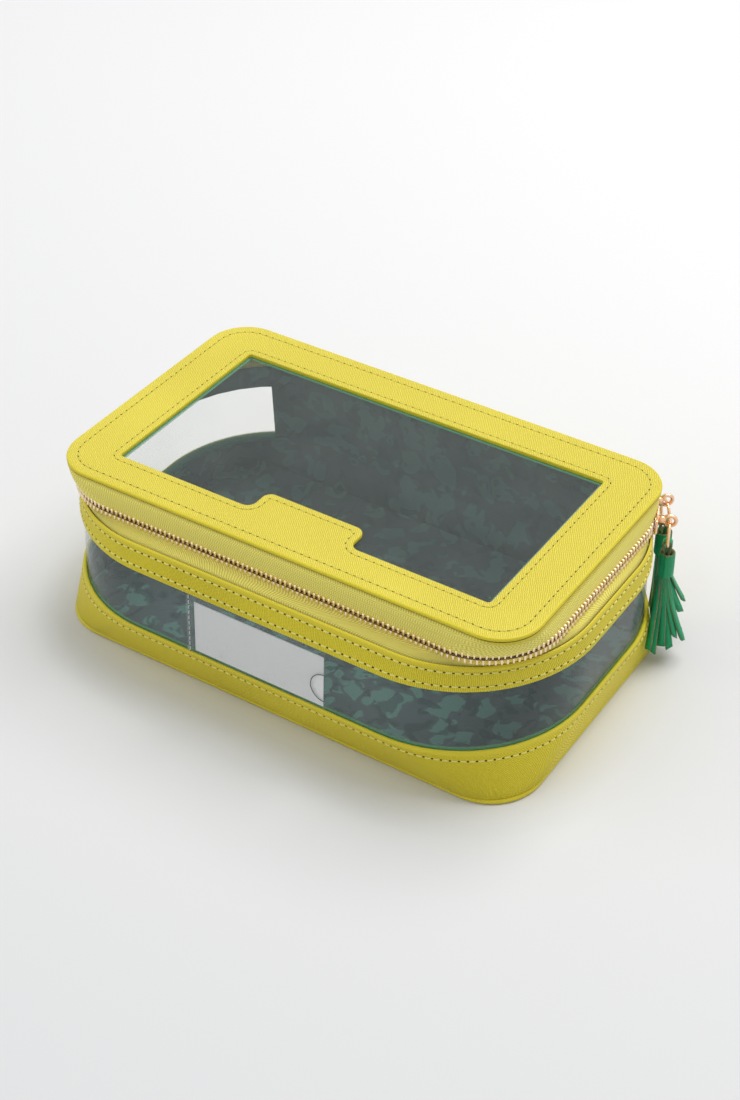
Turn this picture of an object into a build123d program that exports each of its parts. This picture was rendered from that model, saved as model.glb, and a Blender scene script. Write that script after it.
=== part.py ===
from build123d import *

import os
from dataclasses import dataclass
from math import ceil, cos, floor, pi, radians, sin, sqrt

# A clear-walled, zip-round carrying case in grained leather cloth with a windowed lid.
# Millimetres, +Z up. The origin is the middle of the flat underside, +X runs along the
# length to the end where the two sliders park, and +Y runs to the hinged back.

# Driving sizes of the outline, which is a rounded rectangle at every height
case_length = 233.0
case_width = 153.0
wall_corner_radius = 60.0

# Heights of the stages, from the table up
bottom_panel_thickness = 2.4
base_height = 24.0
clear_height = 29.0
upper_band_height = 11.0
chain_rise = 4.0
lid_rise = 12.0

# How far each stage lies inside the outline, along the length and along the width
bottom_inset = (4.8, 8.0)
base_top_inset = (0.75, -1.25)
band_top_inset = (1.75, 3.25)
chain_inset = (6.8, 10.5)
tape_top_inset = (9.75, 11.75)
lid_inset = (8.25, 12.25)
bottom_corner_radius = 22.0
base_top_corner_radius = 58.0
band_top_corner_radius = 54.0
chain_corner_radius = 32.4
tape_top_corner_radius = 19.0
lid_corner_radius = 18.0
corner_flats = 9

# Sheet and board thicknesses
base_leather = 1.6
band_leather = 1.2
back_leather = 1.2
lid_leather = 1.8
hinge_leather = 1.2
clear_sheet = 0.6
pocket_sheet = 0.35
card_sheet = 0.3
window_sheet = 0.5
board = 1.1
lining = 0.5
tape = 0.6
layer_gap = 0.05
floor_gap = 0.6
tuck = 4.0

# Lid window with the tab that stands into it from the front
window_length = 172.0
window_width = 90.0
window_shift = -1.0
window_corner = 1.5
window_hold = 4.0
tab_width = 46.0
tab_depth = 12.0
tab_corner = 4.0
tab_shift = 1.4

# Back panel and the fold line of the leather hinge
back_half_width = 88.0
hinge_half_width = 83.0
fold_inset = 0.55
fold_rise = 1.5
fold_gap = 0.15
binding_width = 3.0
binding_depth = 3.1

# Label pocket on the front and the card in it
pocket_left = -32.5
pocket_right = 33.0
card_left = -29.0
card_length = 61.0
card_height = 24.0
pocket_height = 28.4
thumb_radius = 6.5

# Zipper chain: one tooth of each row, counted along the chain
tooth_pitch = 2.54
tooth_root = 3.0
tooth_tip = 0.6
tooth_tip_width = 0.8
tooth_root_width = 1.2
tooth_depth = 2.2
chain_end_angle = 78.0
tape_seat = 0.05
stop_width = 1.2

# Sliders: the places of the two on the corner arc, in degrees from the length axis
front_slider_angle = 22.0
rear_slider_angle = 42.0
slider_length = 10.0
slider_nose_height = 7.6
slider_tail_height = 7.4
slider_inner_height = 7.0
slider_corner = 0.6
slider_plate = 1.0
channel_outer = 1.35
channel_inner = 1.85
guide_width = 0.45
guide_depth = 0.4
wedge_length = 2.3
wedge_nose = 0.5
wedge_tail = 0.3
spread_reach = 8.0
spread_flat = 3.5
spread_most = 0.95

# Eye on the slider, round ring and tassel
eye_offset = 7.0
eye_rise = 1.0
eye_radius = 3.05
eye_hole = 1.75
eye_thickness = 1.2
ring_radius = 6.0
ring_wire = 1.1
hang_gap = 0.1
loop_width = 3.0
loop_leather = 1.0
loop_length = 7.0
loop_hole = 3.6
cap_length = 11.0
cap_cover = 1.5
cap_radius = 3.2
strip_length = 33.0
strip_width = 2.4
strip_leather = 0.9
strip_count = 8
strip_uneven = 2.0
fan_free = 0.17
fan_inner = 0.05
front_lean = 0.06
rear_lean = 0.08


@dataclass(frozen=True)
class Loop:
    """One level of the outline: a rounded rectangle at a height."""

    length: float
    width: float
    radius: float
    height: float

    def draw(self, inset=0.0):
        """Draw the loop, moved in by inset, in the sketch that is open."""
        RectangleRounded(self.length - 2 * inset, self.width - 2 * inset, self.radius - inset)

    def flat_points(self, inset=0.0):
        """The loop's corner points with flats round its corners, moved in by inset."""
        radius = self.radius - inset
        centre_x = self.length / 2 - self.radius
        centre_y = self.width / 2 - self.radius
        points = []
        for quarter, (side_x, side_y) in enumerate(((1, 1), (-1, 1), (-1, -1), (1, -1))):
            for step in range(corner_flats + 1):
                turn = radians(90 * (quarter + step / corner_flats))
                points.append(
                    (side_x * centre_x + radius * cos(turn), side_y * centre_y + radius * sin(turn))
                )
        return points

    def draw_flats(self, inset=0.0, mode=Mode.ADD):
        """Draw the loop with its flats, moved in by inset, in the sketch that is open."""
        with BuildLine() as outline:
            Polyline(*self.flat_points(inset), close=True)
        make_face(outline.edges(), mode=mode)

    def inside(self, inset, height=None):
        """The same loop moved in by inset, at another height if one is given."""
        level = self.height if height is None else height
        return Loop(self.length - 2 * inset, self.width - 2 * inset, self.radius - inset, level)


def outline_loop(inset, radius, height):
    """A loop that lies inside the case's outline by an inset for each direction."""
    return Loop(case_length - 2 * inset[0], case_width - 2 * inset[1], radius, height)


def between(lower, upper, height):
    """The loop of a straight wall from lower to upper at a height."""
    share = (height - lower.height) / (upper.height - lower.height)

    def mix(a, b):
        return a + (b - a) * share

    return Loop(
        mix(lower.length, upper.length),
        mix(lower.width, upper.width),
        mix(lower.radius, upper.radius),
        height,
    )


def flat_sided(loops, inset):
    """A solid with plane faces that passes through the loops, moved in by inset."""
    rows = [[Vector(x, y, loop.height) for x, y in loop.flat_points(inset)] for loop in loops]
    outlines = [rows[0], rows[-1]]
    for lower, upper in zip(rows, rows[1:]):
        for step in range(len(lower)):
            outlines.append((lower[step - 1], lower[step], upper[step], upper[step - 1]))
    return Solid(Shell([Face(Wire.make_polygon(outline)) for outline in outlines]))


def wall(loops, thickness, inset=0.0):
    """Add the tapering wall that passes through the loops, to the part that is open."""
    add(flat_sided(loops, inset))
    add(flat_sided(loops, inset + thickness), mode=Mode.SUBTRACT)


def plate(loop, thickness, inset=0.0, hole_inset=None):
    """Add a flat plate of the loop's outline standing on the loop's height."""
    with BuildSketch(Plane.XY.offset(loop.height)) as outline:
        loop.draw(inset)
        if hole_inset is not None:
            RectangleRounded(
                loop.length - 2 * hole_inset,
                loop.width - 2 * hole_inset,
                loop.radius - hole_inset,
                mode=Mode.SUBTRACT,
            )
    extrude(outline.sketch, amount=thickness)


def finish(builder, name):
    """Label a finished piece and write it."""
    builder.part.label = name
    export_step(builder.part, f"parts/{name}.step")


os.makedirs("parts", exist_ok=True)

base_top_height = base_height
band_bottom_height = base_top_height + clear_height
band_top_height = band_bottom_height + upper_band_height
chain_height = band_top_height + chain_rise
lid_top_height = chain_height + lid_rise
lid_under_height = lid_top_height - lid_leather

bottom_loop = outline_loop(bottom_inset, bottom_corner_radius, 0.0)
base_top_loop = outline_loop(base_top_inset, base_top_corner_radius, base_top_height)
band_bottom_loop = outline_loop((0.0, 0.0), wall_corner_radius, band_bottom_height)
band_top_loop = outline_loop(band_top_inset, band_top_corner_radius, band_top_height)
chain_loop = outline_loop(chain_inset, chain_corner_radius, chain_height)
lid_loop = outline_loop(lid_inset, lid_corner_radius, lid_under_height)

far = case_length + case_width


def back_only(half_width, mode=Mode.INTERSECT):
    """Keep, or take away, what lies at the back within a half width."""
    Box(
        2 * half_width,
        far,
        far,
        align=(Align.CENTER, Align.MIN, Align.CENTER),
        mode=mode,
    )


def window_opening(grow=0.0):
    """Cut the lid's window, grown by an amount, out of the sketch and put the tab back."""
    with Locations((0, window_shift)):
        RectangleRounded(
            window_length + 2 * grow, window_width + 2 * grow, window_corner, mode=Mode.SUBTRACT
        )
    with Locations((tab_shift, window_shift - window_width / 2)):
        RectangleRounded(tab_width - 2 * grow, 2 * (tab_depth - grow), tab_corner)


# Case: the turned-edge bottom panel, its board and lining, and the sewn bands
with BuildPart() as bottom_panel:
    plate(bottom_loop, bottom_panel_thickness)
    chamfer(bottom_panel.faces().sort_by(Axis.Z)[0].edges(), bottom_panel_thickness / 4)
finish(bottom_panel, "bottom_panel")

base_foot_loop = between(bottom_loop, base_top_loop, bottom_panel_thickness + layer_gap)
with BuildPart() as base_band:
    wall([base_foot_loop, base_top_loop], base_leather)
finish(base_band, "base_band")

floor_inset = base_leather + floor_gap
with BuildPart() as bottom_board:
    plate(base_foot_loop, board, floor_inset)
finish(bottom_board, "bottom_board")

lining_loop = base_foot_loop.inside(0, base_foot_loop.height + board + layer_gap)
with BuildPart() as bottom_lining:
    plate(lining_loop, lining, floor_inset)
finish(bottom_lining, "bottom_lining")

with BuildPart() as upper_band:
    wall([band_bottom_loop, band_top_loop], band_leather)
    back_only(back_half_width + layer_gap, Mode.SUBTRACT)
finish(upper_band, "upper_band")

# The clear wall is tucked behind both bands and ends behind the back panel's sides
wall_inset = base_leather + layer_gap
wall_foot_loop = between(bottom_loop, base_top_loop, base_top_height - tuck)
wall_head_loop = between(band_bottom_loop, band_top_loop, band_bottom_height + tuck)
board_half_width = back_half_width - binding_width
with BuildPart() as clear_wall:
    wall([wall_foot_loop, base_top_loop, band_bottom_loop, wall_head_loop], clear_sheet, wall_inset)
    back_only(board_half_width + binding_width / 4, Mode.SUBTRACT)
finish(clear_wall, "clear_wall")

# Lining behind the upper band, inside the clear wall
inner_inset = wall_inset + clear_sheet + layer_gap
lining_foot_loop = between(base_top_loop, band_bottom_loop, band_bottom_height - tuck / 2)
lining_head_loop = between(band_bottom_loop, band_top_loop, band_top_height - tuck / 2)
with BuildPart() as upper_band_lining:
    wall([lining_foot_loop, band_bottom_loop, lining_head_loop], lining, inner_inset)
    back_only(back_half_width + binding_width / 4, Mode.SUBTRACT)
finish(upper_band_lining, "upper_band_lining")

# Back: leather outside, a board behind it and a lining inside, sewn up to the fold
fold_height = band_top_height + fold_rise
fold_y = band_top_loop.width / 2 - fold_inset
back_foot_loop = base_top_loop.inside(0, base_top_height + layer_gap)
with BuildPart() as back_panel:
    wall([back_foot_loop, band_bottom_loop, band_top_loop], back_leather)
    back_only(back_half_width)
    with BuildSketch(Plane.YZ):
        with BuildLine():
            Polyline(
                (band_top_loop.width / 2, band_top_height),
                (fold_y, fold_height - fold_gap),
                (fold_y - back_leather, fold_height - fold_gap),
                (band_top_loop.width / 2 - back_leather, band_top_height),
                close=True,
            )
        make_face()
    extrude(amount=hinge_half_width, both=True)
finish(back_panel, "back_panel")

board_inset = back_leather + layer_gap
with BuildPart() as back_board:
    wall([back_foot_loop, band_bottom_loop, lining_head_loop], board, board_inset)
    back_only(board_half_width)
finish(back_board, "back_board")

back_lining_inset = board_inset + board + layer_gap
with BuildPart() as back_lining:
    back_lining_loops = [wall_foot_loop, base_top_loop, band_bottom_loop, lining_head_loop]
    wall(back_lining_loops, lining, back_lining_inset)
    back_only(board_half_width)
finish(back_lining, "back_lining")

# Bindings over the seams where the clear wall meets the back, one each side
binding_foot_loop = base_top_loop.inside(0, base_top_height - tuck / 2)
with BuildPart() as back_seam_bindings:
    wall([binding_foot_loop, lining_foot_loop], lining, inner_inset)
    back_only(back_half_width + binding_width / 2)
    back_only(board_half_width + layer_gap, Mode.SUBTRACT)
finish(back_seam_bindings, "back_seam_bindings")

# Front label: a clear pocket on the flat of the front wall, open at its right end
slope = Vector(0, (base_top_loop.width - band_bottom_loop.width) / 2, clear_height)
front_plane = Plane(
    origin=(0, -base_top_loop.width / 2, base_top_height),
    x_dir=(1, 0, 0),
    z_dir=Vector(1, 0, 0).cross(slope),
)
card_inset = wall_inset - layer_gap
pocket_inset = card_inset - card_sheet - layer_gap
pocket_foot = slope.length / 2 - pocket_height / 2
card_foot = pocket_foot + (pocket_height - card_height) / 5
with BuildPart() as label_pocket:
    with BuildSketch(front_plane.offset(-pocket_inset)):
        with Locations((pocket_left, pocket_foot)):
            Rectangle(pocket_right - pocket_left, pocket_height, align=Align.MIN)
        with Locations((pocket_right, card_foot + card_height * 0.4)):
            Circle(thumb_radius, mode=Mode.SUBTRACT)
    extrude(amount=pocket_sheet)
finish(label_pocket, "label_pocket")

with BuildPart() as label_card:
    with BuildSketch(front_plane.offset(-card_inset)):
        with Locations((card_left, card_foot)):
            Rectangle(card_length, card_height, align=Align.MIN)
    extrude(amount=card_sheet)
finish(label_card, "label_card")

# Zipper chain path: from the left end of the hinge round the left, front and right
arc_x = chain_loop.length / 2 - chain_corner_radius
arc_y = chain_loop.width / 2 - chain_corner_radius
side_x = chain_loop.length / 2
side_y = chain_loop.width / 2
with BuildLine(Plane.XY.offset(chain_height)) as chain_line:
    CenterArc((-arc_x, arc_y), chain_corner_radius, 180 - chain_end_angle, chain_end_angle)
    Line((-side_x, arc_y), (-side_x, -arc_y))
    CenterArc((-arc_x, -arc_y), chain_corner_radius, 180, 90)
    Line((-arc_x, -side_y), (arc_x, -side_y))
    CenterArc((arc_x, -arc_y), chain_corner_radius, 270, 90)
    Line((side_x, -arc_y), (side_x, arc_y))
    CenterArc((arc_x, arc_y), chain_corner_radius, 0, chain_end_angle)
chain_path = chain_line.wire()
chain_length = chain_path.length
rear_arc_length = chain_corner_radius * radians(chain_end_angle)
rear_arc_start = chain_length - rear_arc_length


def chain_plane(distance, rise=0.0):
    """Plane on the chain: X along it, Y up and Z outward, at a distance from its left end."""
    point = chain_path.position_at(distance, position_mode=PositionMode.LENGTH)
    along = chain_path.tangent_at(distance, position_mode=PositionMode.LENGTH)
    return Plane(point + Vector(0, 0, rise), x_dir=along, z_dir=along.cross(Vector(0, 0, 1)))


def arc_distance(angle):
    """Distance along the chain of a place on the rear right corner arc."""
    return rear_arc_start + chain_corner_radius * radians(angle)


nose_distance = arc_distance((front_slider_angle + rear_slider_angle) / 2)


def spread_at(distance):
    """How far each row has parted from the chain's middle between the two sliders."""
    share = (spread_reach - abs(distance - nose_distance)) / (spread_reach - spread_flat)
    return spread_most * min(1.0, max(0.0, share))


def row_planes(first, last, phase, side):
    """Planes of one row's teeth between two distances; side is 1 for the lid, -1 for the case."""
    counts = range(ceil(first / tooth_pitch - phase), floor(last / tooth_pitch - phase) + 1)
    distances = [(count + phase) * tooth_pitch for count in counts]
    return [chain_plane(distance, side * spread_at(distance)) for distance in distances]


def tooth_row(planes, side):
    """Add one tooth on each plane to the part that is open, its root away from the middle."""
    with BuildSketch(*planes) as outlines:
        with BuildLine():
            Polyline(
                (-tooth_tip_width / 2, -side * tooth_tip),
                (tooth_tip_width / 2, -side * tooth_tip),
                (tooth_root_width / 2, side * tooth_root),
                (-tooth_root_width / 2, side * tooth_root),
                close=True,
            )
        make_face()
    extrude(outlines.sketch, amount=tooth_depth / 2, both=True, clean=False)


first_tooth = 2 * stop_width + tooth_root_width
last_tooth = chain_length - first_tooth
with BuildPart() as upper_teeth:
    tooth_row(row_planes(first_tooth, rear_arc_start, 0.0, 1), 1)
finish(upper_teeth, "upper_teeth")

with BuildPart() as lower_teeth:
    tooth_row(row_planes(first_tooth, rear_arc_start, 0.5, -1), -1)
finish(lower_teeth, "lower_teeth")

# The rows on the rear right corner, which part where the sliders stand nose to nose
with BuildPart() as upper_teeth_corner:
    tooth_row(row_planes(rear_arc_start, last_tooth, 0.0, 1), 1)
finish(upper_teeth_corner, "upper_teeth_corner")

with BuildPart() as lower_teeth_corner:
    tooth_row(row_planes(rear_arc_start, last_tooth, 0.5, -1), -1)
finish(lower_teeth_corner, "lower_teeth_corner")

with BuildPart() as chain_end_stops:
    with BuildSketch(chain_plane(stop_width), chain_plane(chain_length - stop_width)) as stops:
        Rectangle(stop_width, 2 * tooth_root)
    extrude(stops.sketch, amount=tooth_depth / 2, both=True)
finish(chain_end_stops, "chain_end_stops")

# Tapes: each ends at its row's roots, and is notched where the corner rows part
tape_end_half_width = board_half_width + layer_gap
nose_plane = chain_plane(nose_distance)
tape_edge = tooth_root + tape_seat


def cut_notch(side):
    """Take the notch that the parted rows need out of the tape that is open."""
    mouth = spread_reach + tooth_root_width / 2
    bed = spread_flat + tooth_root_width
    depth = tape_edge + spread_most
    with BuildSketch(nose_plane) as notch:
        with BuildLine():
            Polyline(
                (-mouth, side * tape_edge),
                (-bed, side * depth),
                (bed, side * depth),
                (mouth, side * tape_edge),
                (mouth, side * tooth_tip),
                (-mouth, side * tooth_tip),
                close=True,
            )
        make_face()
    extrude(notch.sketch, amount=4 * tape, both=True, mode=Mode.SUBTRACT)


# The band's corner reaches this far inside the chain, and the tape's riser stays behind it,
# also where the flats of the band's wider corner cut deeper than its own
band_arc_x = band_top_loop.length / 2 - band_top_corner_radius
band_arc_y = band_top_loop.width / 2 - band_top_corner_radius
band_reach = sqrt((arc_x - band_arc_x) ** 2 + (arc_y - band_arc_y) ** 2)
corner_inset = band_reach - (band_top_corner_radius - chain_corner_radius)
shelf_height = band_top_height - tape
tape_inset = band_leather + layer_gap
flat_depth = (band_top_corner_radius - chain_corner_radius) * (1 - cos(radians(45 / corner_flats)))
riser_inset = tape_inset + corner_inset + flat_depth
shelf_inner_inset = riser_inset + tape
tail_loop = between(band_bottom_loop, band_top_loop, wall_head_loop.height + 2 * tape)
shelf_loop = between(band_bottom_loop, band_top_loop, shelf_height)
with BuildPart() as lower_zipper_tape:
    with BuildSketch(Plane.XY.offset(shelf_height)):
        shelf_loop.draw_flats(tape_inset)
        chain_loop.draw_flats(shelf_inner_inset, Mode.SUBTRACT)
    extrude(amount=-tape)
    riser_loops = [
        chain_loop.inside(riser_inset, shelf_height - tape),
        chain_loop.inside(riser_inset, band_top_height + layer_gap),
        chain_loop.inside(-tape / 2, chain_height - tape_edge),
    ]
    wall(riser_loops, tape)
    wall([tail_loop, shelf_loop], tape, tape_inset)
    back_only(tape_end_half_width, Mode.SUBTRACT)
    cut_notch(-1)
finish(lower_zipper_tape, "lower_zipper_tape")

# Lid: the windowed leather frame, its board, the clear window, lining and edge binding
with BuildPart() as lid_frame:
    with BuildSketch(Plane.XY.offset(lid_under_height)):
        lid_loop.draw()
        window_opening()
    extrude(amount=lid_leather)
    top_edges = lid_frame.faces().sort_by(Axis.Z)[-1].outer_wire().edges()
    chamfer(top_edges, lid_leather / 4)
finish(lid_frame, "lid_frame")

with BuildPart() as lid_window:
    with BuildSketch(Plane.XY.offset(lid_under_height)):
        with Locations((0, window_shift)):
            Rectangle(window_length + 2 * window_hold, window_width + 2 * window_hold)
    extrude(amount=-window_sheet)
finish(lid_window, "lid_window")

with BuildPart() as lid_board:
    with BuildSketch(Plane.XY.offset(lid_under_height)):
        lid_loop.draw(binding_depth + layer_gap)
        with Locations((0, window_shift)):
            Rectangle(
                window_length + 2 * (window_hold + layer_gap),
                window_width + 2 * (window_hold + layer_gap),
                mode=Mode.SUBTRACT,
            )
    extrude(amount=-board)
finish(lid_board, "lid_board")

with BuildPart() as lid_lining:
    with BuildSketch(Plane.XY.offset(lid_under_height - board)):
        lid_loop.draw(binding_depth + layer_gap)
        window_opening(window_hold / 4)
    extrude(amount=-lining)
finish(lid_lining, "lid_lining")

binding_height = board + layer_gap
with BuildPart() as lid_edge_binding:
    with BuildSketch(Plane.XY.offset(lid_under_height)):
        lid_loop.draw(layer_gap)
        RectangleRounded(
            lid_loop.length - 2 * binding_depth,
            lid_loop.width - 2 * binding_depth,
            lid_loop.radius - binding_depth,
            mode=Mode.SUBTRACT,
        )
    extrude(amount=-binding_height)
    back_only(hinge_half_width + layer_gap, Mode.SUBTRACT)
finish(lid_edge_binding, "lid_edge_binding")

tape_top_loop = outline_loop(
    tape_top_inset, tape_top_corner_radius, lid_under_height - binding_height
)
with BuildPart() as upper_zipper_tape:
    wall([chain_loop.inside(-tape / 2, chain_height + tape_edge), tape_top_loop], tape)
    back_only(hinge_half_width + layer_gap, Mode.SUBTRACT)
    cut_notch(1)
finish(upper_zipper_tape, "upper_zipper_tape")

# Leather hinge strip from the lid's back edge down to the fold line
with BuildPart() as hinge_strip:
    with BuildSketch(Plane.YZ):
        with BuildLine():
            Polyline(
                (fold_y, fold_height + fold_gap),
                (lid_loop.width / 2, lid_under_height - layer_gap),
                (lid_loop.width / 2 - hinge_leather, lid_under_height - layer_gap),
                (fold_y - hinge_leather, fold_height + fold_gap),
                close=True,
            )
        make_face()
    extrude(amount=hinge_half_width, both=True)
finish(hinge_strip, "hinge_strip")


def make_slider(place, nose, name):
    """One slider: two plates round the chain, a wedge at its nose, tape guides and the eye."""
    half = slider_length / 2
    with BuildPart() as slider:
        plates = (
            (channel_outer, slider_plate, slider_nose_height, slider_tail_height),
            (-channel_inner, -slider_plate, slider_inner_height, slider_inner_height),
        )
        for inner_face, depth, nose_height, tail_height in plates:
            with BuildSketch(place.offset(inner_face)) as body:
                with BuildLine():
                    Polyline(
                        (-nose * half, -tail_height / 2),
                        (nose * half, -nose_height / 2),
                        (nose * half, nose_height / 2),
                        (-nose * half, tail_height / 2),
                        close=True,
                    )
                make_face()
                chamfer(body.vertices(), slider_corner)
            extrude(body.sketch, amount=depth)
        with BuildSketch(place.offset(-channel_inner)) as wedge:
            with BuildLine():
                Polyline(
                    (nose * half, -wedge_nose / 2),
                    (nose * half, wedge_nose / 2),
                    (nose * (half - wedge_length), wedge_tail / 2),
                    (nose * (half - wedge_length), -wedge_tail / 2),
                    close=True,
                )
            make_face()
        extrude(wedge.sketch, amount=channel_inner + channel_outer)
        outer_guide = (slider_tail_height - guide_width) / 2
        inner_guide = (slider_inner_height - guide_width) / 2
        guides = (
            (channel_outer, -guide_depth, outer_guide),
            (channel_outer, -guide_depth, -outer_guide),
            (-channel_inner, guide_depth, inner_guide),
        )
        for inner_face, depth, height in guides:
            with BuildSketch(place.offset(inner_face)) as guide:
                with Locations((-nose * half / 2, height)):
                    Rectangle(half - 2 * slider_corner, guide_width)
            extrude(guide.sketch, amount=depth)
        eye_plane = Plane(
            place.origin + place.z_dir * eye_offset + place.y_dir * eye_rise,
            x_dir=place.z_dir,
            z_dir=-place.x_dir,
        )
        neck = eye_offset - channel_outer - slider_plate / 2
        with BuildSketch(eye_plane) as eye:
            with Locations((-neck, 0)):
                Rectangle(neck, eye_hole, align=(Align.MIN, Align.CENTER))
            Circle(eye_radius)
            Circle(eye_hole, mode=Mode.SUBTRACT)
        extrude(eye.sketch, amount=eye_thickness / 2, both=True)
    finish(slider, name)


def make_ring(place, name):
    """The round wire ring that hangs through a slider's eye."""
    centre = place.origin + place.z_dir * eye_offset + place.y_dir * ring_centre_rise
    with BuildPart() as ring:
        with BuildSketch(Plane(centre, x_dir=place.y_dir, z_dir=place.x_dir)) as wire:
            with Locations((ring_radius - ring_wire / 2, 0)):
                RegularPolygon(ring_wire / 2, 6)
        revolve(wire.sketch, axis=Axis(centre, place.z_dir))
    finish(ring, name)


def make_tassel(place, lean, free_side, name):
    """A tassel: the loop strap on the ring, the rolled cap and the cut strips below it."""
    hang = place.origin + place.z_dir * eye_offset
    loop_plane = Plane(hang, x_dir=place.z_dir, z_dir=-place.x_dir)
    hole_width = ring_wire + 2 * hang_gap
    hole_top = loop_top_rise - loop_leather
    with BuildPart() as loop:
        with BuildSketch(loop_plane) as strap:
            with Locations((0, loop_top_rise - loop_length / 2)):
                SlotOverall(loop_length, hole_width + 2 * loop_leather, rotation=90)
            with Locations((0, hole_top - loop_hole / 2)):
                SlotOverall(loop_hole, hole_width, rotation=90, mode=Mode.SUBTRACT)
        extrude(strap.sketch, amount=loop_width / 2, both=True)
    finish(loop, f"{name}_loop")

    cap_top = hang + place.y_dir * (loop_top_rise - loop_length + cap_cover)
    cap_foot = cap_top - place.y_dir * cap_length
    with BuildPart() as cap:
        with BuildSketch(Plane(cap_foot)) as roll:
            Circle(cap_radius)
            Circle(cap_radius - strip_leather, mode=Mode.SUBTRACT)
        extrude(roll.sketch, amount=cap_length)
    finish(cap, f"{name}_cap")

    bundle_radius = cap_radius - strip_leather - hang_gap
    strip_foot = cap_foot - place.y_dir * strip_leather / 2
    with BuildPart() as strips:
        with BuildSketch(Plane(strip_foot - place.y_dir * strip_leather / 2)) as bundle:
            Circle(bundle_radius)
        extrude(bundle.sketch, amount=cap_length - cap_cover)
        for count in range(strip_count):
            turn = 2 * pi * count / strip_count
            spread = fan_free if free_side * sin(turn) > 0 else fan_inner
            root = place.z_dir * cos(turn) + place.x_dir * sin(turn)
            way = (
                place.z_dir * (lean + fan_inner * max(0.0, cos(turn)))
                + place.x_dir * spread * sin(turn)
                - place.y_dir
            )
            start = strip_foot + root * (bundle_radius - strip_leather / 2)
            length = strip_length - strip_uneven * (count % 3)
            across = root.cross(way)
            with BuildSketch(Plane(start, x_dir=across, z_dir=way)) as strip:
                Rectangle(strip_width, strip_leather)
            extrude(strip.sketch, amount=length)
    finish(strips, f"{name}_strips")


# The two slider sets, parked nose to nose on the corner arc
ring_centre_rise = eye_rise - eye_hole + hang_gap + ring_wire - ring_radius
inner_ring_radius = ring_radius - ring_wire
ring_bow = inner_ring_radius - sqrt(inner_ring_radius**2 - (loop_width / 2) ** 2)
loop_top_rise = ring_centre_rise - inner_ring_radius + ring_bow + hang_gap + loop_leather

front_place = chain_plane(arc_distance(front_slider_angle))
make_slider(front_place, 1, "front_slider")
make_ring(front_place, "front_ring")
make_tassel(front_place, front_lean, -1, "front_tassel")

rear_place = chain_plane(arc_distance(rear_slider_angle))
make_slider(rear_place, -1, "rear_slider")
make_ring(rear_place, "rear_ring")
make_tassel(rear_place, rear_lean, 1, "rear_tassel")
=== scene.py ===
"""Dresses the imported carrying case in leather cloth, clear vinyl, woven tape, metal and thread."""

import logging
import math
import random
from dataclasses import dataclass, field
from enum import Enum
from typing import ClassVar

import bmesh
import bpy
from mathutils import Matrix, Vector


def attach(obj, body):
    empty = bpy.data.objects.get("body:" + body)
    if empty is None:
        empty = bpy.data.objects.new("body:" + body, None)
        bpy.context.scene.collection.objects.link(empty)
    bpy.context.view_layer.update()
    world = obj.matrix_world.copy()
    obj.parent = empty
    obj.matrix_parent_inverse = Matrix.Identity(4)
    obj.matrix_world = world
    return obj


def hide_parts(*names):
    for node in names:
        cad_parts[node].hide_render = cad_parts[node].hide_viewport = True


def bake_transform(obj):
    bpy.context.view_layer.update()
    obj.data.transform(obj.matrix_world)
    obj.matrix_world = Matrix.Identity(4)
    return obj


LOG = logging.getLogger("carrying_case")
MM = 0.001
Material = bpy.types.Material
Piece = bpy.types.Object
Socket = bpy.types.NodeSocket

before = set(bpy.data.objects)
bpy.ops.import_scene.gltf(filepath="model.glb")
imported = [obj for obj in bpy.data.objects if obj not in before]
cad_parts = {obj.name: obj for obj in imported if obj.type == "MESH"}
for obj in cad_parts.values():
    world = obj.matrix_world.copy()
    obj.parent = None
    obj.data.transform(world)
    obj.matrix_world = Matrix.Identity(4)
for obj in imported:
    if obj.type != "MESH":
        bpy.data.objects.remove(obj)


class Row(Enum):
    """The two rows of the zipper: the lid's above the middle and the case's below it."""

    LID = 1
    CASE = -1

    @property
    def names(self) -> tuple:
        """The word for the row in its pieces' names, and its body."""
        return ("upper", "lid") if self is Row.LID else ("lower", "case")


class Park(Enum):
    """The two slider sets, by the place where each parks on the corner."""

    FRONT = "front"
    REAR = "rear"


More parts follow.
